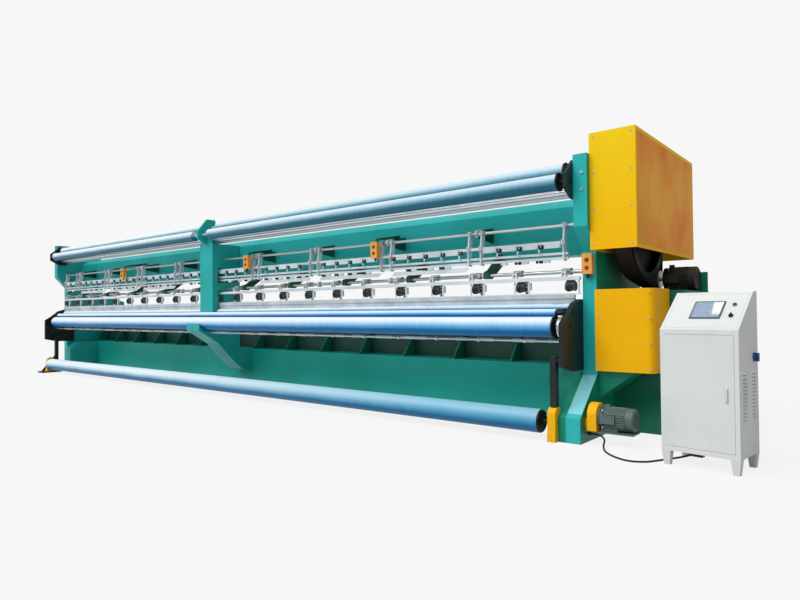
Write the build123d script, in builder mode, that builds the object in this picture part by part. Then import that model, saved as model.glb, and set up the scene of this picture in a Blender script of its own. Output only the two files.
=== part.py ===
# Raschel warp knitting machine with its control cabinet, winding motor and cable, in millimetres.
# X runs along the machine to the drive end, Y to the back and Z up from the floor.
# The origin lies under the base beam, in line with the middle frame.
from build123d import *
from math import acos, asin, atan2, cos, degrees, pi, radians, sin, sqrt, tan
import os

os.makedirs("parts", exist_ok=True)

# Overall lengths, from the middle frame to the outer faces of the end frames
near_half = 5865
far_half = 5400
frame_width = 130
middle_width = 320

# Base beam on its floor pads, with a row of ribs in front of its rear wall
base_depth = 700
base_top = 588
base_wall = 14
pad_height = 60
pad_radius = 70
pad_pitch = 1500
rib_first = 190
rib_pitch = 750
rib_thickness = 26
rib_rise = 332
rear_wall_setback = 262

# Depth of the columns in front of the base beam, and of the heads in front of the columns
panel_setback = 500
head_reach = 190
front = -(base_depth / 2 + panel_setback)
head_front = front - head_reach
beam_front = front + 290

# Heights of the frames
column_top = 1685
head_bottom = 1893
head_top = 2541
middle_top = 2170
shoulder_height = 1504
rear_height = 1403
block_width = 255
block_slope = 155
block_top = base_top - 8
foot_width = 204
foot_reach = 410
foot_rise = 216

# Back beam, a folded channel with a sloping lip
beam_bottom = 1680
beam_top = 2161
beam_depth = 230
beam_lip = 79
beam_wall = 12

# Covers of the drive end
cover_wall = 4
top_cover_width = 408
top_cover_front = front - 135
top_cover_depth = 1840
top_cover_bottom = 1679
top_cover_top = 2720
panel_margin = 36
low_cover_width = 515
low_cover_front = front - 50
low_cover_depth = 465
low_cover_bottom = 600
low_cover_top = 1330
low_cover_round = 60

# Main drive
drive_base_width = 735
drive_base_top = 530
housing_width = 640
housing_depth = 900
housing_top = 1318
shaft_radius = 32
wheel_radius = 500
wheel_width = 170
wheel_grooves = 5
groove_depth = 16
wheel_inset = 100
main_axis = (front + 620, 1930)
motor_radius = 112
motor_length = 300
motor_axis = (front + 1000, housing_top + 126)
pulley_radius = 82
belt_thickness = 12

# Rollers and the clearance of their journals
top_roller_radius = 75
draw_radius = 93
press_radius = 38
guide_radius = 36
batch_radius = 105
journal_radius = 22
flange_rim = 9
flange_width = 14
run_clear = 0.05
face_clear = 0.3
shaft_seat = 40
end_play = 4
stand_width = 34
take_up_width = 45

# Gears between the draw roller and the press roller
gear_module = 4
draw_teeth = 48
press_teeth = 19
gear_width = 30
mesh_clear = 0.6

# Knitting elements
hanger_first = 1000
hanger_pitch = 1205
hanger_width = 24
bay = 508
segment_pitch = 228
segment_length = 166
segment_height = 34
swing_radius = 16
link_radius = 18
slide_clear = 1
arm_offset = 74
arm_thickness = 16
arm_depth = 66
rail_size = 28
bar_size = 22
needle_lift = 16
lever_reach = 70

# Control cabinet, turned a little about its front left corner
cabinet_x = near_half + 735
cabinet_y = front - 655
cabinet_turn = -7.3
cabinet_width = 539
cabinet_depth = 395
cabinet_leg = 108
cabinet_front_top = 999
cabinet_top = 1272
cabinet_slope = 325
cabinet_wall = 3
door_thickness = 18
door_margin = 30
door_gap = 2

# Push button stations
button_box = (95, 62, 186)
button_radius = 14
button_reach = 11
button_travel = 5
button_spacing = 72
hole_clear = 0.4

# Winding drive and cable
guard_width = 80
winder_radius = 92
winder_length = 300
winder_plate = 12
cable_radius = 7.5

inner_near = near_half - frame_width
inner_far = frame_width - far_half
half_middle = middle_width / 2
panel_y = -base_depth / 2


# One plate from its (y, z) outline, between two planes across the machine
def plate_along_x(points, x_low, x_high):
    with BuildPart() as plate:
        with BuildSketch(Plane.YZ.offset(x_low)):
            with BuildLine():
                Polyline(*points, close=True)
            make_face()
        extrude(amount=x_high - x_low)
    return plate.part


# One plate from its (x, z) outline, between two planes along the machine
def plate_along_y(points, y_low, y_high):
    with BuildPart() as plate:
        with BuildSketch(Plane.XZ.offset(-y_low)):
            with BuildLine():
                Polyline(*points, close=True)
            make_face()
        extrude(amount=y_low - y_high)
    return plate.part


# One round bar along the machine, about a (y, z) axis
def bar_along_x(axis, radius, x_low, x_high):
    with BuildPart() as bar:
        with BuildSketch(Plane.YZ.offset(x_low)):
            with Locations(axis):
                Circle(radius)
        extrude(amount=x_high - x_low)
    return bar.part


# One square block between its limits
def block_between(x_low, x_high, y_low, y_high, z_low, z_high):
    with BuildPart() as block:
        with BuildSketch(Plane.XY.offset(z_low)):
            with Locations(((x_low + x_high) / 2, (y_low + y_high) / 2)):
                Rectangle(x_high - x_low, y_high - y_low)
        extrude(amount=z_high - z_low)
    return block.part


# One piece turned about an axis along the machine, from its (x, radius) steps
def turned_along_x(steps, axis):
    turning_plane = Plane(origin=(0, *axis), x_dir=(1, 0, 0), z_dir=(0, -1, 0))
    with BuildPart() as turned:
        with BuildSketch(turning_plane):
            with BuildLine():
                Polyline((steps[0][0], 0), *steps, (steps[-1][0], 0), close=True)
            make_face()
        revolve(axis=Axis((0, *axis), (1, 0, 0)))
    return turned.part


# One spur gear with straight sided teeth, a tooth or a gap at its first angle
def gear_along_x(teeth, first_angle, axis, x_low):
    pitch = gear_module * teeth / 2
    root = pitch - gear_module * 1.1
    tip = pitch + gear_module * 0.75
    points = []
    for tooth in range(teeth):
        for radius, share in ((root, -0.32), (tip, -0.13), (tip, 0.13), (root, 0.32)):
            angle = first_angle + (tooth + share) * 2 * pi / teeth
            points.append((axis[0] + radius * cos(angle), axis[1] + radius * sin(angle)))
    return plate_along_x(points, x_low, x_low + gear_width)


# A point that lies at a distance from one axis, and at a height or depth shift from it
def beside(axis, depth_shift, distance):
    return (axis[0] + depth_shift, axis[1] + sqrt(distance**2 - depth_shift**2))


# Roller axes as (y, z), each carried clear of the next by its gears or its own radius
top_front_axis = (front - 250, 2299)
top_back_axis = (front - 95, 2419)
draw_axis = (front - 290, 994)
gear_distance = gear_module * (draw_teeth + press_teeth) / 2 + mesh_clear
press_axis = beside(draw_axis, 48, gear_distance)
guide_axis = (front - 100, 1165)
batch_axis = (front - 400, 163)

# Ends of the rollers' working faces along the machine
top_faces = (-5165, 5625)
draw_faces = (-5050, 5590)
press_faces = (draw_faces[0] + 4, draw_faces[1] - 4)
guide_faces = (-5100, 5660)
batch_faces = (-5010, 5500)
middle_face = half_middle + 30
upright_half = 17

# Knitting elements as (y, z) axes
swing_axis = (front - 20, 1938)
rail_axis = (front - 50, 1777)
front_bar_axis = (front - 48, 1674)
rear_bar_axis = (front - 40, 1630)
link_axis = (front + 30, 1505)
needle_axis = (front - 40, 1440)
collar_axis = (front - 250, 866)
collar_rod_radius = 13
comb_top = 1291
comb_step = 1246
comb_bottom = 1204
bar_faces = (-5180, 5600)
station_places = (-2640, 912, 3309)

# Places along the machine of what repeats
near_hangers = [hanger_first + hanger_pitch * k for k in range(4)]
hangers = [-x for x in near_hangers[::-1]] + near_hangers
near_groups = [near_half - 234 - bay * k for k in range(11)]
far_groups = [250 - far_half + bay * k for k in range(10)]
groups = far_groups + near_groups[::-1]
ribs = [rib_first + rib_pitch * k for k in range(-7, 7)]


# End frame: column, head and rear plate in one outline, with the base block beside its inner face
frame_outline = [
    (front, 0),
    (front, column_top),
    (head_front, head_bottom),
    (head_front, head_top),
    (front + 420, head_top),
    (front + 720, head_top - 260),
    (front + 720, shoulder_height),
    (front + 855, shoulder_height),
    (front + 1195, rear_height),
    (front + 1195, 0),
]
block_outline = [
    (front - 45, 0),
    (front - 45, block_top - block_slope + 5),
    (front + 115, block_top),
    (panel_y, block_top),
    (panel_y, 0),
]
foot_outer = near_half + 3
foot_inner = foot_outer - foot_width
foot_front = front - foot_reach
foot_outline = [(foot_front, 0), (foot_front, foot_rise), (front, block_top - 5), (front, 0)]
head_holes = (2372, 2222)
bolt_radius = 9
bolt_places = (near_half - frame_width / 2 + 18, frame_width / 2 - far_half)


def end_frame(outer, inner, block, bolt_x):
    bore = sorted((inner, inner + (shaft_seat if outer > inner else -shaft_seat)))
    with BuildPart() as frame:
        add(plate_along_x(frame_outline, *sorted((outer, inner))))
        add(plate_along_x(block_outline, *sorted((inner, block))))
        for axis, radius in ((swing_axis, swing_radius), (link_axis, link_radius)):
            add(bar_along_x(axis, radius + run_clear, *bore), mode=Mode.SUBTRACT)
        with Locations(*[Location((bolt_x, head_front, z), (90, 0, 0)) for z in head_holes]):
            Cylinder(bolt_radius, 80, mode=Mode.SUBTRACT)
    return frame.part


with BuildPart() as near_end_frame:
    add(end_frame(near_half, inner_near, inner_near - block_width, bolt_places[0]))
    add(bar_along_x(main_axis, shaft_radius + run_clear, inner_near, near_half), mode=Mode.SUBTRACT)
    add(plate_along_x(foot_outline, foot_inner, foot_outer))
    add(plate_along_y(
        [(near_half, 350), (near_half, low_cover_bottom), (near_half + 340, low_cover_bottom)],
        front + 20,
        front + 400,
    ))
near_end_frame.part.label = "near_end_frame"
export_step(near_end_frame.part, "parts/near_end_frame.step")

with BuildPart() as far_end_frame:
    add(end_frame(-far_half, inner_far, inner_far + block_width, bolt_places[1]))
far_end_frame.part.label = "far_end_frame"
export_step(far_end_frame.part, "parts/far_end_frame.step")

# Middle frame: box column, console under the draw roller and upright for the top rollers
rest_gap = 12
console_nose = draw_axis[0] - draw_radius - 34
middle_outline = [
    (head_front, middle_top),
    (beam_front, middle_top),
    (beam_front, base_top),
    (panel_y, base_top),
    (panel_y, 240),
    (front + 330, 285),
    (front + 110, 480),
    (front - 80, 690),
    (console_nose, draw_axis[1] - draw_radius - 6),
    (console_nose, draw_axis[1] - 6),
    (console_nose + 22, draw_axis[1] - 6),
    (console_nose + 22, draw_axis[1] - 52),
    (draw_axis[0] - 34, draw_axis[1] - draw_radius - rest_gap),
    (head_front, draw_axis[1] - draw_radius - rest_gap),
]
upright_outline = [
    (head_front - 4, middle_top),
    (top_front_axis[0] - 90, top_front_axis[1] - 60),
    (top_front_axis[0] - 90, top_front_axis[1] + 50),
    (top_back_axis[0] - 90, head_top),
    (top_back_axis[0] + 50, head_top),
    (top_back_axis[0] + 110, middle_top),
]
rail_window = (front - 98, front + 8, 1594, 1812)
needle_window = (front - 92, front + 10, 1194, 1480)
with BuildPart() as middle_frame:
    add(plate_along_x(middle_outline, -half_middle, half_middle))
    add(plate_along_x(upright_outline, -upright_half, upright_half))
    add(plate_along_y(
        [
            (-half_middle, middle_top),
            (-upright_half, top_front_axis[1] + 40),
            (upright_half, top_front_axis[1] + 40),
            (half_middle, middle_top),
        ],
        head_front,
        head_front + 14,
    ))
    for window in (rail_window, needle_window):
        add(block_between(-half_middle, half_middle, *window), mode=Mode.SUBTRACT)
    for axis, radius in ((swing_axis, swing_radius), (link_axis, link_radius), (guide_axis, journal_radius)):
        add(bar_along_x(axis, radius + run_clear, -half_middle, half_middle), mode=Mode.SUBTRACT)
    for axis in (top_front_axis, top_back_axis):
        add(bar_along_x(axis, journal_radius + run_clear, -half_middle, half_middle), mode=Mode.SUBTRACT)
    add(bar_along_x(collar_axis, collar_rod_radius + face_clear, -half_middle, half_middle), mode=Mode.SUBTRACT)
middle_frame.part.label = "middle_frame"
export_step(middle_frame.part, "parts/middle_frame.step")

# Base beam: one hollow box with ribs and a rear wall on top
wall_y = panel_y + rear_wall_setback
with BuildPart() as base_beam:
    add(block_between(inner_far, inner_near, panel_y, -panel_y, pad_height, base_top))
    add(block_between(
        inner_far + base_wall,
        inner_near - base_wall,
        panel_y + base_wall,
        -panel_y - base_wall,
        pad_height + base_wall,
        base_top - base_wall,
    ), mode=Mode.SUBTRACT)
    add(block_between(inner_far, inner_near, wall_y, wall_y + base_wall, base_top, base_top + rib_rise))
    add([
        plate_along_x(
            [(panel_y + 8, base_top), (wall_y, base_top + rib_rise), (wall_y, base_top)],
            x - rib_thickness / 2,
            x + rib_thickness / 2,
        )
        for x in ribs
    ])
base_beam.part.label = "base_beam"
export_step(base_beam.part, "parts/base_beam.step")

with BuildPart() as floor_pads:
    pad_places = [
        (x * pad_pitch, y)
        for x in (-3, -2, -1, 0, 1, 2, 3)
        for y in (panel_y + 2 * pad_radius, 0, -panel_y - 2 * pad_radius)
    ]
    with BuildSketch(Plane.XY):
        with Locations(*pad_places):
            Circle(pad_radius)
    extrude(amount=pad_height / 3)
    with BuildSketch(Plane.XY.offset(pad_height / 3)):
        with Locations(*pad_places):
            RegularPolygon(pad_radius / 2, 6)
    extrude(amount=pad_height * 2 / 3)
floor_pads.part.label = "floor_pads"
export_step(floor_pads.part, "parts/floor_pads.step")

# Back beam: channel open to the back
lip_y = beam_front + beam_lip * 0.8
beam_back = beam_front + beam_depth
beam_outline = [
    (beam_front, beam_bottom),
    (beam_front, beam_top),
    (lip_y, beam_top + beam_lip),
    (beam_back, beam_top + beam_lip),
    (beam_back, beam_top + beam_lip - beam_wall),
    (lip_y + 6, beam_top + beam_lip - beam_wall),
    (beam_front + beam_wall, beam_top - 5),
    (beam_front + beam_wall, beam_bottom + beam_wall),
    (beam_back, beam_bottom + beam_wall),
    (beam_back, beam_bottom),
]
with BuildPart() as back_beam:
    add(plate_along_x(beam_outline, inner_far, inner_near))
back_beam.part.label = "back_beam"
export_step(back_beam.part, "parts/back_beam.step")

# Bearing stands of the top rollers on the heads' inner faces
stand_outline = [
    (top_front_axis[0] - 80, top_front_axis[1] - 70),
    (top_front_axis[0] - 80, top_front_axis[1] + 60),
    (top_back_axis[0] - 60, top_back_axis[1] + 85),
    (top_back_axis[0] + 80, top_back_axis[1] + 85),
    (top_back_axis[0] + 80, top_front_axis[1] - 150),
    (head_front + 10, top_front_axis[1] - 150),
]
near_stand = inner_near - stand_width
with BuildPart() as roller_stands:
    for x_low, boss_low in ((near_stand, near_stand - 16), (inner_far, inner_far + stand_width)):
        add(plate_along_x(stand_outline, x_low, x_low + stand_width))
        for axis in (top_front_axis, top_back_axis):
            add(bar_along_x(axis, journal_radius * 2, boss_low, boss_low + 16))
            add(bar_along_x(axis, journal_radius + run_clear, inner_far, inner_near), mode=Mode.SUBTRACT)
roller_stands.part.label = "roller_stands"
export_step(roller_stands.part, "parts/roller_stands.step")


# Top rollers: two sleeves on one shaft, with flanges beside each bearing
def top_roller(axis):
    sleeve = [
        (inner_far + 4, journal_radius),
        (top_faces[0] - flange_width, journal_radius),
        (top_faces[0] - flange_width, top_roller_radius + flange_rim),
        (top_faces[0], top_roller_radius + flange_rim),
        (top_faces[0], top_roller_radius),
        (-middle_face, top_roller_radius),
        (-middle_face, journal_radius),
        (middle_face, journal_radius),
        (middle_face, top_roller_radius),
        (top_faces[1], top_roller_radius),
        (top_faces[1], top_roller_radius + flange_rim),
        (top_faces[1] + flange_width, top_roller_radius + flange_rim),
        (top_faces[1] + flange_width, journal_radius),
        (inner_near - 4, journal_radius),
    ]
    return turned_along_x(sleeve, axis)


with BuildPart() as top_roller_front:
    add(top_roller(top_front_axis))
top_roller_front.part.label = "top_roller_front"
export_step(top_roller_front.part, "parts/top_roller_front.step")

with BuildPart() as top_roller_back:
    add(top_roller(top_back_axis))
top_roller_back.part.label = "top_roller_back"
export_step(top_roller_back.part, "parts/top_roller_back.step")

# Fixed guide tube and spreader bar under the top rollers
tube_axis = (front - 100, 2226)
tube_runs = ((inner_far + stand_width, -upright_half), (upright_half, inner_near - stand_width))
spreader_low = tube_axis[1] - 44
spreader_top = tube_axis[1] - 10
with BuildPart() as guide_tubes:
    for x_low, x_high in tube_runs:
        add(bar_along_x(tube_axis, 24, x_low, x_high))
        add(block_between(x_low, x_high, front - 40, front - 22, spreader_low, spreader_top))
guide_tubes.part.label = "guide_tubes"
export_step(guide_tubes.part, "parts/guide_tubes.step")

# Side plates of the take-up, bolted to the columns' inner faces
take_up_outline = [
    (front - 430, 650),
    (front - 430, 1030),
    (front - 330, 1092),
    (front - 190, 1205),
    (front - 60, 1245),
    (front + 120, 1245),
    (front + 120, 600),
    (front - 210, 600),
]
with BuildPart() as take_up_plates:
    for x_low in (inner_near - take_up_width, inner_far):
        add(plate_along_x(take_up_outline, x_low, x_low + take_up_width))
    for axis in (draw_axis, press_axis, guide_axis):
        add(bar_along_x(axis, journal_radius + run_clear, inner_far, inner_near), mode=Mode.SUBTRACT)
take_up_plates.part.label = "take_up_plates"
export_step(take_up_plates.part, "parts/take_up_plates.step")

gear_x = inner_near - take_up_width - gear_width - 12
with BuildPart() as draw_roller:
    add(turned_along_x([
        (inner_far + 4, journal_radius),
        (draw_faces[0] - flange_width, journal_radius),
        (draw_faces[0] - flange_width, draw_radius + flange_rim),
        (draw_faces[0], draw_radius + flange_rim),
        (draw_faces[0], draw_radius),
        (draw_faces[1], draw_radius),
        (draw_faces[1], draw_radius + flange_rim),
        (draw_faces[1] + flange_width, draw_radius + flange_rim),
        (draw_faces[1] + flange_width, journal_radius * 2.2),
        (gear_x - 6, journal_radius * 2.2),
        (gear_x - 6, journal_radius),
        (inner_near - 4, journal_radius),
    ], draw_axis))
draw_roller.part.label = "draw_roller"
export_step(draw_roller.part, "parts/draw_roller.step")

# Press roller with its pinion: a gap of the pinion faces a tooth of the draw gear
mesh_angle = atan2(press_axis[1] - draw_axis[1], press_axis[0] - draw_axis[0])
with BuildPart() as press_roller:
    add(turned_along_x([
        (inner_far + 4, journal_radius),
        (press_faces[0], journal_radius),
        (press_faces[0], press_radius),
        (press_faces[1], press_radius),
        (press_faces[1], journal_radius),
        (inner_near - 4, journal_radius),
    ], press_axis))
    add(gear_along_x(press_teeth, mesh_angle + pi + pi / press_teeth, press_axis, gear_x))
press_roller.part.label = "press_roller"
export_step(press_roller.part, "parts/press_roller.step")

with BuildPart() as guide_roller:
    add(turned_along_x([
        (inner_far + 4, journal_radius),
        (guide_faces[0], journal_radius),
        (guide_faces[0], guide_radius),
        (-middle_face, guide_radius),
        (-middle_face, journal_radius),
        (middle_face, journal_radius),
        (middle_face, guide_radius),
        (guide_faces[1], guide_radius),
        (guide_faces[1], journal_radius),
        (inner_near - 4, journal_radius),
    ], guide_axis))
guide_roller.part.label = "guide_roller"
export_step(guide_roller.part, "parts/guide_roller.step")

with BuildPart() as draw_gear:
    add(gear_along_x(draw_teeth, mesh_angle, draw_axis, gear_x))
    add(bar_along_x(draw_axis, journal_radius, gear_x, gear_x + gear_width), mode=Mode.SUBTRACT)
draw_gear.part.label = "draw_gear"
export_step(draw_gear.part, "parts/draw_gear.step")

# Swing shaft in its hangers, with the arms and the rail that carry the guide bars
hanger_outline = [
    (beam_front, swing_axis[1] + 90),
    (swing_axis[0], swing_axis[1] + 34),
    (swing_axis[0] - 34, swing_axis[1] + 12),
    (swing_axis[0] - 34, swing_axis[1] - 16),
    (swing_axis[0], swing_axis[1] - 34),
    (beam_front, swing_axis[1] - 70),
]
shaft_ends = (inner_far - shaft_seat + end_play, inner_near + shaft_seat - end_play)
with BuildPart() as swing_shaft:
    add(bar_along_x(swing_axis, swing_radius, *shaft_ends))
swing_shaft.part.label = "swing_shaft"
export_step(swing_shaft.part, "parts/swing_shaft.step")

arm_low = 1606
arm_outline = [
    (swing_axis[0] - 30, swing_axis[1] + 22),
    (swing_axis[0] + 24, swing_axis[1] + 22),
    (swing_axis[0] + 24, swing_axis[1] - 40),
    (front - 12, rail_axis[1]),
    (front - 12, arm_low),
    (front - 12 - arm_depth, arm_low),
    (front - 12 - arm_depth, rail_axis[1] - 20),
]


# A square bar about a (y, z) axis, half its side given
def square_bar(axis, reach, x_low, x_high):
    return block_between(x_low, x_high, axis[0] - reach, axis[0] + reach, axis[1] - reach, axis[1] + reach)


# Segments sit behind the plane of the rail's front face, and their clamps in front of it
rail_face = rail_axis[0] - rail_size / 2
segment_top = rail_axis[1] - rail_size / 2
end_arms = [bar_faces[0] + arm_thickness, bar_faces[1] - arm_thickness]
arms = [x + side * arm_offset for x in hangers for side in (-1, 1)] + end_arms
near_segments = [bar_faces[1] - 130 - segment_pitch * k for k in range(24)]
far_segments = [bar_faces[0] + 130 + segment_pitch * k for k in range(22)]
segments = [
    x
    for x in far_segments + near_segments
    if min(abs(x - arm) for arm in arms) > (segment_length + arm_thickness) / 2
]
with BuildPart() as swing_arms:
    add([plate_along_x(arm_outline, x - arm_thickness / 2, x + arm_thickness / 2) for x in arms])
    add(bar_along_x(swing_axis, swing_radius, inner_far, inner_near), mode=Mode.SUBTRACT)
    for axis in (front_bar_axis, rear_bar_axis):
        add(square_bar(axis, (bar_size + slide_clear) / 2, inner_far, inner_near), mode=Mode.SUBTRACT)
    add(square_bar(rail_axis, rail_size / 2, *bar_faces))
    with BuildSketch(Plane.XZ.offset(-rail_face)):
        with Locations(*[(x + segment_length / 2 - 14, segment_top) for x in segments]):
            Rectangle(26, 44)
    extrude(amount=10)
swing_arms.part.label = "swing_arms"
export_step(swing_arms.part, "parts/swing_arms.step")

with BuildPart() as guide_segments:
    with BuildSketch(Plane.XZ.offset(-(rail_face + 7))):
        with Locations(*[(x, segment_top - segment_height / 2) for x in segments]):
            Rectangle(segment_length, segment_height)
    extrude(amount=7)
guide_segments.part.label = "guide_segments"
export_step(guide_segments.part, "parts/guide_segments.step")

# Guide bars that shift along the machine through the arms' windows
with BuildPart() as guide_bar_front:
    add(square_bar(front_bar_axis, bar_size / 2, bar_faces[0] - 20, bar_faces[1] + 20))
guide_bar_front.part.label = "guide_bar_front"
export_step(guide_bar_front.part, "parts/guide_bar_front.step")

with BuildPart() as guide_bar_rear:
    add(square_bar(rear_bar_axis, bar_size / 2, bar_faces[0] - 20, bar_faces[1] + 20))
guide_bar_rear.part.label = "guide_bar_rear"
export_step(guide_bar_rear.part, "parts/guide_bar_rear.step")

# Link shaft with a clamp lever at each group, resting at the low end of its stroke
lever_half_angle = asin(needle_lift / 2 / lever_reach)
pin_radius = 7
pin_rest = (
    link_axis[0] - lever_reach * cos(lever_half_angle),
    link_axis[1] - lever_reach * sin(lever_half_angle),
)
lever_shift = -58


def clamp_lever(x):
    tip = (link_axis[0] - lever_reach, link_axis[1])
    with BuildPart() as lever:
        add([
            block_between(
                x - 45, x + 45, link_axis[0] - 28, link_axis[0] + 28, link_axis[1] - 28, link_axis[1] + 34
            ),
            block_between(x - 13, x + 13, tip[0], link_axis[0], tip[1] - 12, tip[1] + 12),
            bar_along_x(tip, 12, x - 13, x + 13),
            bar_along_x(tip, pin_radius, x - 24, x + 24),
        ])
    return lever.part.rotate(Axis((0, *link_axis), (1, 0, 0)), degrees(lever_half_angle))


with BuildPart() as link_shaft:
    add(bar_along_x(link_axis, link_radius, *shaft_ends))
    add([clamp_lever(x + lever_shift) for x in groups])
link_shaft.part.label = "link_shaft"
export_step(link_shaft.part, "parts/link_shaft.step")

# Needle bar: rail with forked lugs for the levers' pins, and rods down to the needle strip
needle_half = 17
needle_bottom = needle_axis[1] - needle_half
needle_top = needle_axis[1] + needle_half
strip_top = 1303
rod_shift = 85
needle_ends = (inner_far + 5, inner_near - 5)


# Two cheeks of one fork, with the slot that the lever's pin slides in
def fork_cheeks(x):
    with BuildPart() as cheeks:
        add([
            block_between(low, low + 10, pin_rest[0] - 16, pin_rest[0] + 16, needle_top, pin_rest[1] + 20)
            for low in (x - 24, x + 14)
        ])
        add(block_between(
            x - 24,
            x + 24,
            pin_rest[0] - pin_radius - 1.5,
            pin_rest[0] + pin_radius + 1.5,
            pin_rest[1] - pin_radius - face_clear,
            pin_rest[1] + pin_radius + face_clear,
        ), mode=Mode.SUBTRACT)
    return cheeks.part


with BuildPart() as needle_bar:
    add(block_between(
        *needle_ends, needle_axis[0] - needle_half, needle_axis[0] + needle_half, needle_bottom, needle_top
    ))
    add(block_between(*needle_ends, needle_axis[0] - 12, needle_axis[0] + 12, strip_top - 10, strip_top))
    add([fork_cheeks(x + lever_shift) for x in groups])
    with BuildSketch(Plane.XY.offset(strip_top)):
        with Locations(*[(x + rod_shift, needle_axis[0]) for x in groups if x + rod_shift < needle_ends[1]]):
            Circle(9)
    extrude(amount=needle_bottom - strip_top)
needle_bar.part.label = "needle_bar"
export_step(needle_bar.part, "parts/needle_bar.step")

# Round clamps and stop plates under the needle bar
clamp_axis = (needle_axis[0] + 6, needle_axis[1] - 68)


def round_clamp(x):
    with BuildPart() as clamp:
        add([
            bar_along_x((clamp_axis[0], clamp_axis[1] - 4), 48, x - 31, x + 3),
            bar_along_x(clamp_axis, 42, x + 3, x + 43),
            block_between(x - 31, x + 43, needle_axis[0] - 12, needle_axis[0] + 16, clamp_axis[1], needle_bottom),
        ])
    return clamp.part


with BuildPart() as needle_clamps:
    add([round_clamp(x) for x in groups])
needle_clamps.part.label = "needle_clamps"
export_step(needle_clamps.part, "parts/needle_clamps.step")

# Comb bar on arms from the base beam's rear wall
comb_back = front - 46
comb_arms = [-4960 + 1490 * k for k in range(8)]
arm_profile = [
    (comb_back, comb_bottom),
    (comb_back, comb_step),
    (front + 30, comb_step),
    (wall_y, base_top + rib_rise),
    (wall_y, base_top + rib_rise - 70),
    (front + 20, comb_bottom - 14),
    (front - 30, comb_bottom - 14),
]
with BuildPart() as comb_bar:
    add(plate_along_x(
        [
            (comb_back, comb_bottom),
            (comb_back, comb_top),
            (comb_back - 34, comb_top),
            (comb_back - 34, comb_step + 8),
            (comb_back - 24, comb_step),
            (comb_back - 24, comb_bottom),
        ],
        inner_far + take_up_width + 4,
        inner_near - take_up_width - 4,
    ))
    add([plate_along_x(arm_profile, x - 15, x + 15) for x in comb_arms])
comb_bar.part.label = "comb_bar"
export_step(comb_bar.part, "parts/comb_bar.step")

# Rod with stop collars under the draw roller
with BuildPart() as collar_rod:
    add(bar_along_x(collar_axis, collar_rod_radius, inner_far + take_up_width, inner_near - take_up_width))
    add([
        bar_along_x(collar_axis, collar_rod_radius + 9, x + 135, x + 165)
        for x in groups
        if abs(x + 150) > half_middle + 60 and x + 165 < inner_near - take_up_width
    ])
collar_rod.part.label = "collar_rod"
export_step(collar_rod.part, "parts/collar_rod.step")

# Brackets on the back beam: hangers of the swing shaft, posts of the link shaft, straps of the stations
post_outline = [
    (beam_front, beam_bottom + 60),
    (beam_front, beam_bottom),
    (beam_front + 90, beam_bottom),
    (beam_front - 20, beam_bottom - 70),
    (link_axis[0] + 40, link_axis[1] - 34),
    (link_axis[0] - 34, link_axis[1] - 34),
    (link_axis[0] - 34, link_axis[1] + 36),
    (link_axis[0] + 40, link_axis[1] + 60),
]
station_back = front - 100
strap_outline = [
    (station_back, 1890),
    (station_back, 1995),
    (beam_front, 2060),
    (beam_front, 2020),
    (station_back + 12, 1978),
    (station_back + 12, 1890),
]
post_width = 66
posts = [x + 95 for x in far_groups[1::2] + near_groups[2::2]]
with BuildPart() as beam_brackets:
    add([plate_along_x(hanger_outline, x - hanger_width / 2, x + hanger_width / 2) for x in hangers])
    add([plate_along_x(post_outline, x - post_width / 2, x + post_width / 2) for x in posts])
    add([plate_along_x(strap_outline, x - 20, x + 20) for x in station_places])
    add(bar_along_x(swing_axis, swing_radius + run_clear, inner_far, inner_near), mode=Mode.SUBTRACT)
    add(bar_along_x(link_axis, link_radius + run_clear, inner_far, inner_near), mode=Mode.SUBTRACT)
beam_brackets.part.label = "beam_brackets"
export_step(beam_brackets.part, "parts/beam_brackets.step")

# Drive base and the housing on it, with the stay of the main motor
drive_front = front + 420
stay_y = motor_axis[0] + motor_radius + 4
with BuildPart() as drive_base:
    add(block_between(
        near_half, near_half + drive_base_width, drive_front - 3, front + 1195, 0, drive_base_top
    ))
drive_base.part.label = "drive_base"
export_step(drive_base.part, "parts/drive_base.step")

with BuildPart() as drive_housing:
    add(block_between(
        near_half,
        near_half + housing_width,
        drive_front,
        drive_front + housing_depth,
        drive_base_top,
        housing_top,
    ))
    add(block_between(near_half + 440, near_half + 672, stay_y, stay_y + 14, housing_top - 90, housing_top + 190))
    for x in (near_half + 440, near_half + 580):
        add(plate_along_x(
            [
                (stay_y, housing_top - 20),
                (stay_y, housing_top + 190),
                (stay_y + 60, housing_top + 190),
                (stay_y + 110, housing_top - 20),
            ],
            x,
            x + 14,
        ))
drive_housing.part.label = "drive_housing"
export_step(drive_housing.part, "parts/drive_housing.step")

# Ribbed wheel on its shaft through the end frame
wheel_low = near_half + wheel_inset
wheel_high = wheel_low + wheel_width
groove_pitch = wheel_width / wheel_grooves
web_radius = wheel_radius - 70
rim_steps = []
for groove in range(wheel_grooves):
    rim_low = wheel_low + groove * groove_pitch
    rim_steps += [
        (rim_low, wheel_radius),
        (rim_low + groove_pitch * 0.35, wheel_radius),
        (rim_low + groove_pitch * 0.5, wheel_radius - groove_depth),
        (rim_low + groove_pitch * 0.85, wheel_radius - groove_depth),
    ]
rim_steps.append((wheel_high - groove_pitch * 0.02, wheel_radius))
with BuildPart() as drive_wheel:
    add(turned_along_x([
        (inner_near, shaft_radius),
        (wheel_low - 10, shaft_radius),
        (wheel_low - 10, 90),
        (wheel_low + 70, 90),
        (wheel_low + 70, web_radius),
        (wheel_low, web_radius),
        *rim_steps,
        (wheel_high, wheel_radius),
        (wheel_high, web_radius),
        (wheel_high - 70, web_radius),
        (wheel_high - 70, 90),
        (wheel_high + 10, 90),
    ], main_axis))
drive_wheel.part.label = "drive_wheel"
export_step(drive_wheel.part, "parts/drive_wheel.step")


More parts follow.
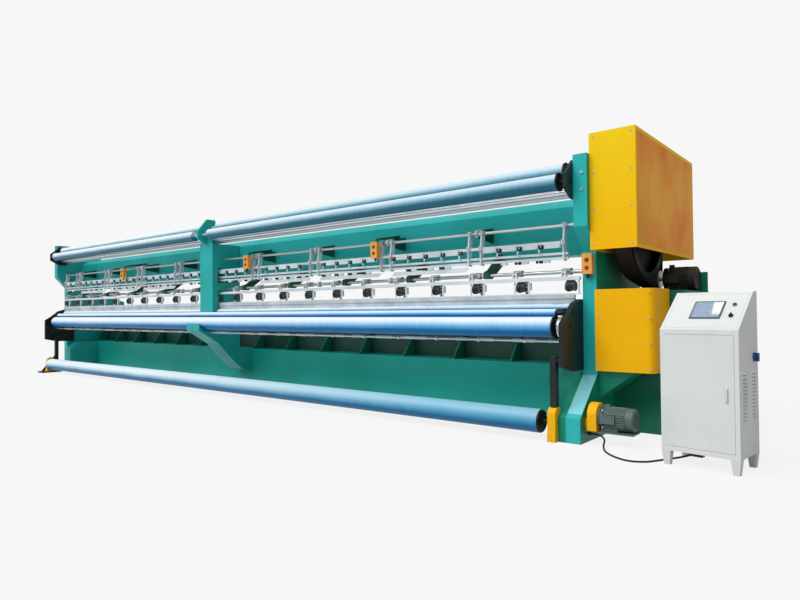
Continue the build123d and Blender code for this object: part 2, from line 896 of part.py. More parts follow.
# A finned motor along the machine on a foot, with its terminal box at the front
def finned_motor(axis, radius, x_low, x_high, foot_bottom):
    fins_high = x_low + (x_high - x_low) * 0.58
    with BuildPart() as motor:
        add(turned_along_x([
            (x_low, radius),
            (x_low + 14, radius),
            (x_low + 14, radius * 0.9),
            (fins_high, radius * 0.9),
            (fins_high, radius * 0.98),
            (x_high - 18, radius * 0.98),
            (x_high, radius * 0.8),
        ], axis))
        with BuildSketch(Plane.YZ.offset(x_low + 14)):
            with Locations(axis):
                with PolarLocations(radius * 0.92, 28):
                    Rectangle(radius * 0.14, radius * 0.05)
        extrude(amount=fins_high - x_low - 14)
        add(block_between(
            x_low + 20, fins_high - 12, axis[0] - radius * 0.62, axis[0] + radius * 0.62,
            foot_bottom, axis[1] - radius * 0.7,
        ))
        add(block_between(
            x_low + 26, fins_high - 22, axis[0] - radius * 1.16, axis[0], axis[1] - radius * 0.38,
            axis[1] + radius * 0.42,
        ))
        add(block_between(
            x_low + 40, x_low + 84, axis[0] - 16, axis[0] + 16, axis[1] + radius * 0.7,
            axis[1] + radius * 1.26,
        ))
    return motor.part


motor_low = near_half + 315
motor_shaft = 16
with BuildPart() as main_motor:
    add(finned_motor(motor_axis, motor_radius, motor_low, motor_low + motor_length, housing_top))
    add(bar_along_x(motor_axis, motor_shaft + run_clear, motor_low, motor_low + 50), mode=Mode.SUBTRACT)
main_motor.part.label = "main_motor"
export_step(main_motor.part, "parts/main_motor.step")

with BuildPart() as motor_pulley:
    add(turned_along_x([
        (wheel_low + 4, pulley_radius + 8),
        (wheel_low + 8, pulley_radius + 8),
        (wheel_low + 8, pulley_radius),
        (wheel_high - 8, pulley_radius),
        (wheel_high - 8, pulley_radius + 8),
        (wheel_high - 4, pulley_radius + 8),
        (wheel_high - 4, motor_shaft),
        (motor_low + 46, motor_shaft),
    ], motor_axis))
motor_pulley.part.label = "motor_pulley"
export_step(motor_pulley.part, "parts/motor_pulley.step")


# The hull of two discs, one about the wheel and one about the pulley
def belt_hull(grow):
    with BuildPart() as hull:
        with BuildSketch(Plane.YZ.offset(wheel_low + 12)):
            with Locations(main_axis):
                Circle(wheel_radius + grow)
            with Locations(motor_axis):
                Circle(pulley_radius + grow)
            make_hull()
        extrude(amount=wheel_width - 24)
    return hull.part


with BuildPart() as drive_belt:
    add(belt_hull(face_clear + belt_thickness))
    add(belt_hull(face_clear), mode=Mode.SUBTRACT)
drive_belt.part.label = "drive_belt"
export_step(drive_belt.part, "parts/drive_belt.step")

# Covers of the drive end, the upper one open underneath and the lower one towards the frame
cover_outer = near_half + top_cover_width
cover_back = top_cover_front + top_cover_depth
with BuildPart() as top_cover:
    add(block_between(near_half, cover_outer, top_cover_front, cover_back, top_cover_bottom, top_cover_top))
    add(block_between(
        near_half + cover_wall,
        cover_outer - cover_wall,
        top_cover_front + cover_wall,
        cover_back - cover_wall,
        top_cover_bottom,
        top_cover_top - cover_wall,
    ), mode=Mode.SUBTRACT)
    add(bar_along_x(main_axis, shaft_radius + 12, near_half, near_half + cover_wall), mode=Mode.SUBTRACT)
top_cover.part.label = "top_cover"
export_step(top_cover.part, "parts/top_cover.step")

with BuildPart() as cover_side_panel:
    add(block_between(
        cover_outer,
        cover_outer + 3,
        top_cover_front + panel_margin,
        cover_back - panel_margin,
        top_cover_bottom + panel_margin,
        top_cover_top - panel_margin,
    ))
cover_side_panel.part.label = "cover_side_panel"
export_step(cover_side_panel.part, "parts/cover_side_panel.step")

low_cover_outer = near_half + low_cover_width
low_cover_back = low_cover_front + low_cover_depth


# The lower cover's plan shrunk by one wall, with its rounded outer corner
def low_cover_form(shrink, z_low, z_high):
    with BuildPart() as form:
        with BuildSketch(Plane.XY.offset(z_low)):
            with BuildLine():
                FilletPolyline(
                    (near_half, low_cover_front + shrink),
                    (low_cover_outer - shrink, low_cover_front + shrink),
                    (low_cover_outer - shrink, low_cover_back - shrink),
                    (near_half, low_cover_back - shrink),
                    radius=(low_cover_round - shrink, low_cover_round / 3 - shrink),
                )
                Line((near_half, low_cover_back - shrink), (near_half, low_cover_front + shrink))
            make_face()
        extrude(amount=z_high - z_low)
    return form.part


with BuildPart() as lower_cover:
    add(low_cover_form(0, low_cover_bottom, low_cover_top))
    add(low_cover_form(cover_wall, low_cover_bottom + cover_wall, low_cover_top - cover_wall), mode=Mode.SUBTRACT)
lower_cover.part.label = "lower_cover"
export_step(lower_cover.part, "parts/lower_cover.step")

# Hexagon bolts of the heads
with BuildPart() as frame_bolts:
    for x in bolt_places:
        for z in head_holes:
            with Locations(Location((x, head_front, z), (90, 0, 0))):
                Cylinder(bolt_radius - face_clear, 40, align=(Align.CENTER, Align.CENTER, Align.MAX))
            with BuildSketch(Plane.XZ.offset(-head_front)):
                with Locations((x, z)):
                    RegularPolygon(bolt_radius * 1.6, 6)
            extrude(amount=10)
frame_bolts.part.label = "frame_bolts"
export_step(frame_bolts.part, "parts/frame_bolts.step")

# Batch roller between its housings near the floor
far_housing = batch_faces[0] - 90
near_housing = foot_inner - 74
with BuildPart() as batch_roller:
    add(turned_along_x([
        (far_housing + 4, journal_radius),
        (batch_faces[0] - 12, journal_radius),
        (batch_faces[0] - 12, batch_radius - 7),
        (batch_faces[0], batch_radius - 7),
        (batch_faces[0], batch_radius),
        (batch_faces[1], batch_radius),
        (batch_faces[1], batch_radius - 7),
        (batch_faces[1] + 12, batch_radius - 7),
        (batch_faces[1] + 12, journal_radius),
        (foot_inner - 4, journal_radius),
    ], batch_axis))
batch_roller.part.label = "batch_roller"
export_step(batch_roller.part, "parts/batch_roller.step")

stand_top = 25
with BuildPart() as batch_housings:
    for x_low, x_high, floor in ((far_housing, far_housing + 70, stand_top), (near_housing, foot_inner, 0)):
        add(block_between(x_low, x_high, batch_axis[0] - 74, batch_axis[0] + 74, floor, 75))
        add(block_between(x_low, x_high, batch_axis[0] - 66, batch_axis[0] + 66, 75, 250))
        add(bar_along_x((batch_axis[0], 234), 66, x_low, x_high))
    add(bar_along_x(batch_axis, journal_radius + run_clear, far_housing, foot_inner), mode=Mode.SUBTRACT)
batch_housings.part.label = "batch_housings"
export_step(batch_housings.part, "parts/batch_housings.step")

# Upright guides of the batch, the far one on its own floor plate
near_guide = near_housing + 12
far_guide = far_housing - 80
with BuildPart() as batch_guides:
    add(block_between(near_guide, near_guide + 56, batch_axis[0] - 30, batch_axis[0] + 30, 300, 740))
    add(block_between(
        near_guide + 56, inner_near - take_up_width, batch_axis[0] - 20, batch_axis[0] + 20, 690, 730
    ))
    add(block_between(far_guide - 70, far_housing + 80, front - 560, front - 200, 0, stand_top))
    add(block_between(far_guide, far_guide + 50, front - 280, front - 220, stand_top, 720))
    add(plate_along_x(
        [
            (front - 530, stand_top),
            (front - 280, 330),
            (front - 280, 270),
            (front - 480, stand_top),
        ],
        far_guide + 10,
        far_guide + 40,
    ))
batch_guides.part.label = "batch_guides"
export_step(batch_guides.part, "parts/batch_guides.step")

# Belt guard and winding motor on their plate beside the foot
guard_low = near_half + 40
guard_high = guard_low + guard_width
winder_axis = (front - 250, 225)
plate_top = 118
with BuildPart() as belt_guard:
    with BuildSketch(Plane.YZ.offset(guard_low)):
        with Locations((winder_axis[0], plate_top + 70)):
            Rectangle(220, 140)
        with Locations((winder_axis[0], 240)):
            Circle(110)
    extrude(amount=guard_width)
    fillet(belt_guard.edges().group_by(Axis.X)[-1].filter_by(GeomType.CIRCLE), 14)
    add(block_between(
        foot_outer, guard_low, winder_axis[0] - 60, winder_axis[0] + 60, plate_top, plate_top + 90
    ))
belt_guard.part.label = "belt_guard"
export_step(belt_guard.part, "parts/belt_guard.step")

with BuildPart() as winding_motor:
    add(finned_motor(winder_axis, winder_radius, guard_high, guard_high + winder_length, plate_top))
    add(block_between(
        foot_outer,
        guard_high + winder_length,
        winder_axis[0] - 90,
        winder_axis[0] + 90,
        plate_top - winder_plate,
        plate_top,
    ))
winding_motor.part.label = "winding_motor"
export_step(winding_motor.part, "parts/winding_motor.step")


# Push button stations: an upper and a lower button in each box
box_width, box_depth, box_height = button_box


def button_axes(x, face, z):
    return ((x, face, z + button_spacing / 2), (x, face, z - button_spacing / 2))


station_faces = [(near_half - 66, front - box_depth, 1565)] + [
    (x, station_back - box_depth, 1855) for x in station_places
]
button_depth = 24
with BuildPart() as button_boxes:
    for x, face, z in station_faces:
        add(block_between(
            x - box_width / 2, x + box_width / 2, face, face + box_depth, z - box_height / 2, z + box_height / 2
        ))
        for place in button_axes(x, face, z):
            with Locations(Location(place, (90, 0, 0))):
                Cylinder(
                    button_radius + hole_clear,
                    button_depth + button_travel + 2,
                    align=(Align.CENTER, Align.CENTER, Align.MAX),
                    mode=Mode.SUBTRACT,
                )
button_boxes.part.label = "button_boxes"
export_step(button_boxes.part, "parts/button_boxes.step")


# One push button with a rounded cap, from its seat on the box face
def push_button(place):
    with BuildPart() as button:
        with Locations(Location(place, (90, 0, 0))):
            Cylinder(button_radius, button_depth, align=(Align.CENTER, Align.CENTER, Align.MAX))
            Cylinder(button_radius, button_reach, align=(Align.CENTER, Align.CENTER, Align.MIN))
        fillet(button.edges().group_by(Axis.Y)[0], 3)
    return button.part


for number, station in enumerate(station_faces, 1):
    for role, place in zip(("start", "stop"), button_axes(*station)):
        button_name = f"{role}_button_{number}"
        with BuildPart() as station_button:
            add(push_button(place))
        station_button.part.label = button_name
        export_step(station_button.part, f"parts/{button_name}.step")

# Control cabinet, built square to its own front and then turned into place
cabinet_place = Location((cabinet_x, cabinet_y, 0), (0, 0, cabinet_turn))
slope_angle = atan2(cabinet_top - cabinet_front_top, cabinet_slope)
slope_plane = Plane(
    origin=(0, 0, cabinet_front_top),
    x_dir=(1, 0, 0),
    z_dir=(0, -sin(slope_angle), cos(slope_angle)),
)
cabinet_outline = [
    (0, cabinet_leg),
    (0, cabinet_front_top),
    (cabinet_slope, cabinet_top),
    (cabinet_depth, cabinet_top),
    (cabinet_depth, cabinet_leg),
]
door_low = cabinet_leg + door_margin + 6
door_high = cabinet_front_top - door_margin - 4
door_left = door_margin
door_right = cabinet_width - door_margin
start_place = (454, 270)
knob_place = (456, 150)
screen_place = (282, 213)
switch_place = (312, 800)
knob_shaft = 8
screen_size = (210, 186)


def cabinet_form(shrink):
    with BuildPart() as form:
        with BuildSketch(Plane.YZ.offset(shrink)):
            with BuildLine():
                Polyline(*cabinet_outline, close=True)
            make_face()
            if shrink:
                offset(amount=-shrink, kind=Kind.INTERSECTION, mode=Mode.REPLACE)
        extrude(amount=cabinet_width - 2 * shrink)
    return form.part


with BuildPart() as cabinet_shell:
    add(cabinet_form(0))
    add(cabinet_form(cabinet_wall), mode=Mode.SUBTRACT)
    add(block_between(door_left, door_right, 0, cabinet_wall, door_low, door_high), mode=Mode.SUBTRACT)
    with BuildSketch(Plane.XY.offset(cabinet_leg)):
        with Locations(*[
            (x, y) for x in (32, cabinet_width - 32) for y in (32, cabinet_depth - 32)
        ]):
            Rectangle(64, 64)
    extrude(amount=-cabinet_leg, taper=6)
    with BuildSketch(slope_plane):
        with Locations(start_place):
            Circle(button_radius + 6)
    extrude(amount=4)
    with BuildSketch(slope_plane.offset(5)):
        with Locations(start_place):
            Circle(button_radius + hole_clear)
        with Locations(knob_place):
            Circle(knob_shaft + hole_clear)
    extrude(amount=-20, mode=Mode.SUBTRACT)
    with BuildSketch(Plane.YZ.offset(cabinet_width)):
        with Locations(switch_place):
            Circle(knob_shaft + hole_clear)
        for column in (110, 305):
            with Locations(*[(column, 380 + 26 * k) for k in range(13)]):
                Rectangle(80, 7)
    extrude(amount=-cabinet_wall, mode=Mode.SUBTRACT)
with BuildPart() as cabinet_body:
    add(cabinet_shell.part.moved(cabinet_place))
cabinet_body.part.label = "cabinet_body"
export_step(cabinet_body.part, "parts/cabinet_body.step")

# Door as a folded pan with the lock's plate on its skin, close to the frame at its hinged edge
lock_x = 456
lock_z = 548
hinge_edge = door_left + face_clear
with BuildPart() as door_form:
    add(block_between(
        hinge_edge, door_right - door_gap, 0, door_thickness, door_low + door_gap, door_high - door_gap
    ))
    add(block_between(
        hinge_edge + 2,
        door_right - door_gap - 2,
        2,
        door_thickness,
        door_low + door_gap + 2,
        door_high - door_gap - 2,
    ), mode=Mode.SUBTRACT)
    add(block_between(lock_x - 13, lock_x + 13, -3, 0, lock_z - 54, lock_z + 54))
    with Locations(Location((lock_x, 0, lock_z - 30), (90, 0, 0))):
        Cylinder(6 + hole_clear, 30, mode=Mode.SUBTRACT)
with BuildPart() as cabinet_door:
    add(door_form.part.moved(cabinet_place))
cabinet_door.part.label = "cabinet_door"
export_step(cabinet_door.part, "parts/cabinet_door.step")

with BuildPart() as lock_form:
    add(block_between(lock_x - 8, lock_x + 8, -15, -3.5, lock_z - 40, lock_z + 46))
    with Locations(Location((lock_x, -3.5, lock_z - 30), (90, 0, 0))):
        Cylinder(6, 15, align=(Align.CENTER, Align.CENTER, Align.MAX))
with BuildPart() as door_lock:
    add(lock_form.part.moved(cabinet_place))
door_lock.part.label = "door_lock"
export_step(door_lock.part, "parts/door_lock.step")

with BuildPart() as screen_form:
    with BuildSketch(slope_plane):
        with Locations(screen_place):
            Rectangle(*screen_size)
    extrude(amount=9)
    with BuildSketch(slope_plane.offset(9)):
        with Locations(screen_place):
            Rectangle(screen_size[0] - 26, screen_size[1] - 36)
    extrude(amount=-2, mode=Mode.SUBTRACT)
with BuildPart() as control_screen:
    add(screen_form.part.moved(cabinet_place))
control_screen.part.label = "control_screen"
export_step(control_screen.part, "parts/control_screen.step")

with BuildPart() as start_form:
    with BuildSketch(slope_plane.offset(-16)):
        with Locations(start_place):
            Circle(button_radius)
    extrude(amount=28)
with BuildPart() as cabinet_button:
    add(start_form.part.moved(cabinet_place))
cabinet_button.part.label = "cabinet_button"
export_step(cabinet_button.part, "parts/cabinet_button.step")

with BuildPart() as knob_form:
    with BuildSketch(slope_plane.offset(-14)):
        with Locations(knob_place):
            Circle(knob_shaft)
    extrude(amount=14.5)
    with BuildSketch(slope_plane.offset(0.5)):
        with Locations(knob_place):
            Circle(16)
    extrude(amount=10)
    with BuildSketch(slope_plane.offset(10.5)):
        with Locations(knob_place):
            Rectangle(8, 30)
    extrude(amount=12)
with BuildPart() as selector_knob:
    add(knob_form.part.moved(cabinet_place))
selector_knob.part.label = "selector_knob"
export_step(selector_knob.part, "parts/selector_knob.step")

with BuildPart() as switch_form:
    with BuildSketch(Plane.YZ.offset(cabinet_width - 14)):
        with Locations(switch_place):
            Circle(knob_shaft)
    extrude(amount=14.5)
    with BuildSketch(Plane.YZ.offset(cabinet_width + 0.5)):
        with Locations(switch_place):
            Circle(32)
    extrude(amount=14)
    with BuildSketch(Plane.YZ.offset(cabinet_width + 14.5)):
        with Locations(switch_place):
            Rectangle(16, 60)
    extrude(amount=20)
with BuildPart() as isolator_switch:
    add(switch_form.part.moved(cabinet_place))
isolator_switch.part.label = "isolator_switch"
export_step(isolator_switch.part, "parts/isolator_switch.step")

# Black connector housing under the cabinet
socket_face = (118, 300, 45)
with BuildPart() as socket_form:
    add(block_between(
        socket_face[0] - 40, socket_face[0] + 60, socket_face[1], socket_face[1] + 50, 20, cabinet_leg
    ))
with BuildPart() as cable_socket:
    add(socket_form.part.moved(cabinet_place))
cable_socket.part.label = "cable_socket"
export_step(cable_socket.part, "parts/cable_socket.step")

# Cable from the foot of the end frame to the socket, each end leaving its gland straight
gland_length = 26
gland_radius = 15
turn = radians(cabinet_turn)
socket_way = (-sin(turn), cos(turn), 0)
socket_point = (
    cabinet_x + socket_face[0] * cos(turn) - socket_face[1] * sin(turn),
    cabinet_y + socket_face[0] * sin(turn) + socket_face[1] * cos(turn),
    socket_face[2],
)
cable_end = tuple(socket_point[i] - gland_length * socket_way[i] for i in range(3))
last_corner = tuple(cable_end[i] - 110 * socket_way[i] for i in range(3))
cable_start = (foot_outer + gland_length, front - 235, 70)
cable_route = [
    cable_start,
    (5975, front - 235, 70),
    (6038, front - 300, 45),
    (6066, front - 420, 20),
    (6130, front - 560, cable_radius),
    (6250, front - 690, cable_radius),
    (6385, front - 765, cable_radius),
    (6505, front - 712, cable_radius),
    (6566, front - 590, cable_radius),
    last_corner,
    cable_end,
]


# Bend radii that leave a straight piece in every run
def bend_radii(route):
    radii = []
    for before, corner, after in zip(route, route[1:], route[2:]):
        run_in = [corner[i] - before[i] for i in range(3)]
        run_out = [after[i] - corner[i] for i in range(3)]
        length_in = sqrt(sum(value**2 for value in run_in))
        length_out = sqrt(sum(value**2 for value in run_out))
        cosine = sum(a * b for a, b in zip(run_in, run_out)) / (length_in * length_out)
        radii.append(0.45 * min(length_in, length_out) / tan(acos(cosine) / 2))
    return radii


cable_bends = bend_radii(cable_route)
print("cable bend radii", [round(radius) for radius in cable_bends])
with BuildPart() as motor_cable:
    with BuildLine() as cable_line:
        FilletPolyline(*cable_route, radius=cable_bends)
    with BuildSketch(Plane(origin=cable_start, z_dir=(1, 0, 0))):
        Circle(cable_radius)
    sweep()
motor_cable.part.label = "motor_cable"
export_step(motor_cable.part, "parts/motor_cable.step")

with BuildPart() as cable_glands:
    for origin, way in (((foot_outer, *cable_start[1:]), (1, 0, 0)), (socket_point, [-w for w in socket_way])):
        gland_plane = Plane(origin=origin, z_dir=way)
        with BuildSketch(gland_plane):
            RegularPolygon(gland_radius, 6)
        extrude(amount=gland_length - 10)
        with BuildSketch(gland_plane.offset(gland_length - 10)):
            Circle(gland_radius - 3)
        extrude(amount=10)
cable_glands.part.label = "cable_glands"
export_step(cable_glands.part, "parts/cable_glands.step")
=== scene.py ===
import bmesh
import bpy
import numpy as np
from math import cos, pi, radians, sin
from mathutils import Matrix, Vector


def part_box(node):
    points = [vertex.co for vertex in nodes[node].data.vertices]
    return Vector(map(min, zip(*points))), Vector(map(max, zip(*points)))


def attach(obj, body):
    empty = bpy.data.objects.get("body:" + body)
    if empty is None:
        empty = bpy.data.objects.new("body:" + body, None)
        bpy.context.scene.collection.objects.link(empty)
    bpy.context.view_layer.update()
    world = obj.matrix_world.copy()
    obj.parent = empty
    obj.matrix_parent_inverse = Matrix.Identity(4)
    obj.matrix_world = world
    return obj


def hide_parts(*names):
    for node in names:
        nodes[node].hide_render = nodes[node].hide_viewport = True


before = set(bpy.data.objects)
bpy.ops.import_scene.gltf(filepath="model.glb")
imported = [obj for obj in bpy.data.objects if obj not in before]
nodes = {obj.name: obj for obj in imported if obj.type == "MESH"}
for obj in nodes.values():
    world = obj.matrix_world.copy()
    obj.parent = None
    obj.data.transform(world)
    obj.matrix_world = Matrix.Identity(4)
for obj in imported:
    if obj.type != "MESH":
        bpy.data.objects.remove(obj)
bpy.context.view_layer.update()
print("frame loaded,", len(nodes), "nodes")

# The photograph's camera: in front of the cabinet and to its right, 1.15 m above the floor
viewSettings = {
    "place": (7.998, -6.2746, 1.150),
    "turn": 50.737,        # degrees from -X towards +Y
    "rise": 1.04,
    "roll": -0.5,
    "focal": 613.06,       # in pixels of an image 800 wide
    "imageWidth": 800,
    "sensor": 36.0,
}


def makeCamera(look):
    # aim = direction of view, right = aim x up, then both side vectors roll about the aim
    turn, rise, roll = (radians(look[key]) for key in ("turn", "rise", "roll"))
    aim = Vector((-cos(turn) * cos(rise), sin(turn) * cos(rise), sin(rise)))
    flatRight = aim.cross(Vector((0, 0, 1))).normalized()
    flatUp = flatRight.cross(aim)
    right = flatRight * cos(roll) + flatUp * sin(roll)
    up = flatUp * cos(roll) - flatRight * sin(roll)
    lens = bpy.data.cameras.new("camera")
    lens.sensor_width = look["sensor"]
    lens.lens = look["focal"] * look["sensor"] / look["imageWidth"]
    camera = bpy.data.objects.new("camera", lens)
    bpy.context.scene.collection.objects.link(camera)
    camera.matrix_world = Matrix((
        (right.x, up.x, -aim.x, look["place"][0]),
        (right.y, up.y, -aim.y, look["place"][1]),
        (right.z, up.z, -aim.z, look["place"][2]),
        (0, 0, 0, 1),
    ))
    bpy.context.scene.camera = camera


makeCamera(viewSettings)
bpy.context.scene.view_settings.view_transform = "Standard"


# Shader maths: a Wire is one output socket, and + - * / on it add Math nodes
class Wire:
    def __init__(self, finish, socket):
        self.finish = finish
        self.socket = socket

    def maths(self, operation, first, second):
        return self.finish.node("Math", {"operation": operation}, {0: first, 1: second})

    def __add__(self, other):
        return self.maths("ADD", self, other)

    def __radd__(self, other):
        return self.maths("ADD", other, self)

    def __sub__(self, other):
        return self.maths("SUBTRACT", self, other)

    def __rsub__(self, other):
        return self.maths("SUBTRACT", other, self)

    def __mul__(self, other):
        return self.maths("MULTIPLY", self, other)

    def __rmul__(self, other):
        return self.maths("MULTIPLY", other, self)

    def __truediv__(self, other):
        return self.maths("DIVIDE", self, other)

    def __gt__(self, other):
        return self.maths("GREATER_THAN", self, other)

    def __lt__(self, other):
        return self.maths("LESS_THAN", self, other)


class Finish:
    def __init__(self, name):
        self.material = bpy.data.materials.new(name)
        self.material.use_nodes = True
        self.tree = self.material.node_tree
        self.tree.nodes.clear()
        self.place = self.node("TexCoord", out="Object")

    # settings are set first, and "stops" are a ramp's (position, colour) pairs
    def node(self, kind, settings=None, sockets=None, out=0):
        made = self.tree.nodes.new("ShaderNode" + kind)
        for key, value in (settings or {}).items():
            if key == "stops":
                ramp = made.color_ramp.elements
                while len(ramp) < len(value):
                    ramp.new(0.5)
                for stop, (position, colour) in zip(ramp, value):
                    stop.position = position
                    stop.color = colour
            else:
                setattr(made, key, value)
        for key, value in (sockets or {}).items():
            if isinstance(value, Wire):
                self.tree.links.new(value.socket, made.inputs[key])
            else:
                made.inputs[key].default_value = value
        return Wire(self, made.outputs[out])

    def scaled(self, x, y, z):
        return self.node("Mapping", {}, {"Vector": self.place, "Scale": (x, y, z)})

    def noise(self, place, scale, detail=3.0, rough=0.5):
        sockets = {"Vector": place, "Scale": scale, "Detail": detail, "Roughness": rough}
        return self.node("TexNoise", {}, sockets)

    def between(self, value, low, high):
        return self.node("MapRange", {}, {"Value": value, "From Min": low, "From Max": high})

    def mixed(self, share, first, second, blend="MIX"):
        settings = {"data_type": "RGBA", "blend_type": blend}
        return self.node("Mix", settings, {0: share, 6: first, 7: second}, out=2)

    def part(self, axis):
        return self.node("SeparateXYZ", {}, {"Vector": self.place}, out=axis)

    def bump(self, height, distance, strength=1.0):
        return self.node("Bump", {}, {"Height": height, "Distance": distance, "Strength": strength})

    def surface(self, **sockets):
        named = {key.replace("_", " "): value for key, value in sockets.items()}
        self.connect(self.node("BsdfPrincipled", {}, named))
        return self.material

    def connect(self, shader):
        end = self.tree.nodes.new("ShaderNodeOutputMaterial")
        self.tree.links.new(shader.socket, end.inputs["Surface"])


def rgb(red, green, blue):
    # from the 0 to 255 values of a screen to linear light
    part = np.array([red, green, blue]) / 255.0
    linear = np.where(part <= 0.04045, part / 12.92, ((part + 0.055) / 1.055) ** 2.4)
    return (*linear.tolist(), 1.0)


def paint(name, colour, worn, rough=0.35, coat=0.1, peel=0.0003, dust=0.06, cloud=1.3, shine=0.25,
          shade=None):
    # enamel: slow clouds between two tones, grime low down, fine orange peel; "shade" lists a tone and the
    # (axis, start, full) limits between which it comes in; on the frame, base and covers these tones are
    # painted shade and a painted highlight
    finish = Finish(name)
    slow = finish.between(finish.noise(finish.place, cloud, 4.0), 0.35, 0.68)
    stain = finish.between(finish.noise(finish.scaled(1, 1, 0.25), 9.0, 5.0, 0.65), 0.52, 0.8)
    base = finish.mixed(slow, colour, worn)
    low = finish.between(finish.part("Z"), 0.65, 0.0)
    speck = finish.noise(finish.place, 60.0, 4.0, 0.7)
    dusty = finish.mixed(low * speck * dust * 2.0, base, rgb(110, 118, 104))
    coloured = finish.mixed(stain * 0.12, dusty, tuple(part * 0.4 for part in colour[:3]) + (1.0,))
    for tone, *limits in shade or ():
        deep = 1.0
        for axis, start, full in limits:
            deep = finish.between(finish.part(axis), start, full) * deep
        coloured = finish.mixed(deep, coloured, tone)
    fine = finish.noise(finish.place, 420.0, 2.0)
    return finish.surface(
        Base_Color=coloured,
        Roughness=rough + slow * 0.12 + low * speck * 0.1,
        Coat_Weight=coat,
        Coat_Roughness=0.12,
        Specular_IOR_Level=shine,
        Normal=finish.bump(fine, peel, 0.6),
    )


def metal(name, colour, rough=0.28, streak=(3.0, 260.0, 260.0), stained=0.15):
    # ground or turned metal: fine lines drawn out along X, with dull patches
    finish = Finish(name)
    lines = finish.noise(finish.scaled(*streak), 1.0, 3.0, 0.6)
    patch = finish.between(finish.noise(finish.place, 6.0, 4.0), 0.4, 0.75)
    dark = tuple(part * 0.45 for part in colour[:3]) + (1.0,)
    base = finish.mixed(patch * stained + lines * 0.25, colour, dark)
    return finish.surface(
        Base_Color=base,
        Metallic=0.9,
        Roughness=rough + patch * 0.18 + lines * 0.08,
        Normal=finish.bump(lines, 0.0002, 0.5),
    )


def rollerSkin(name, height, radius, ends, light, middle, dark):
    # pale blue film wound on a roller: fine rings along X, and painted shade on its tone, pale where lit at
    # its top and deepening to its foot, with a painted highlight whitening the far half; its flanges and
    # journals, past "ends", are black
    finish = Finish(name)
    ring = finish.noise(finish.scaled(1.0, 0.12, 0.12), 46.0, 5.0, 0.75)
    broad = finish.noise(finish.scaled(1.0, 0.5, 0.5), 1.4, 3.0)
    fold = finish.noise(finish.scaled(1.0, 0.9, 0.9), 85.0, 4.0, 0.6)
    # painted light and shade: height above the foot sets the tone, pale on top and deep below; the rings and
    # broad clouds mixed in are the film's own
    above = (finish.part("Z") - (height - radius)) / (2 * radius)
    tone = above * 0.80 + broad * 0.12 + ring * 0.13
    stops = [(0.36, dark), (0.56, middle), (0.80, light)]
    film = finish.node("ValToRGB", {"stops": stops}, {"Fac": tone})
    along = finish.part("X")
    # painted highlight: the upper film on the far half of the roller whitened
    farHighlight = finish.between(along, 4.5, -1.5) * finish.between(tone, 0.40, 0.68)
    film = finish.mixed(farHighlight * 0.8, film, rgb(240, 246, 250))
    colour = finish.mixed((along > ends[1]) + (along < ends[0]), film, rgb(24, 26, 30))
    return finish.surface(
        Base_Color=colour,
        Roughness=0.3 + ring * 0.2,
        Coat_Weight=0.05,
        Coat_Roughness=0.15,
        Specular_IOR_Level=0.2,
        Normal=finish.bump(ring * 0.8 + fold * 0.12, 0.0016, 0.4),
    )


def plastic(name, colour, rough=0.38, grain=0.0001):
    finish = Finish(name)
    cloud = finish.between(finish.noise(finish.place, 14.0, 4.0), 0.35, 0.7)
    fine = finish.noise(finish.place, 900.0, 2.0)
    shade = tuple(part * 0.8 for part in colour[:3]) + (1.0,)
    return finish.surface(
        Base_Color=finish.mixed(cloud, colour, shade),
        Roughness=rough + cloud * 0.1,
        Normal=finish.bump(fine, grain, 0.5),
    )


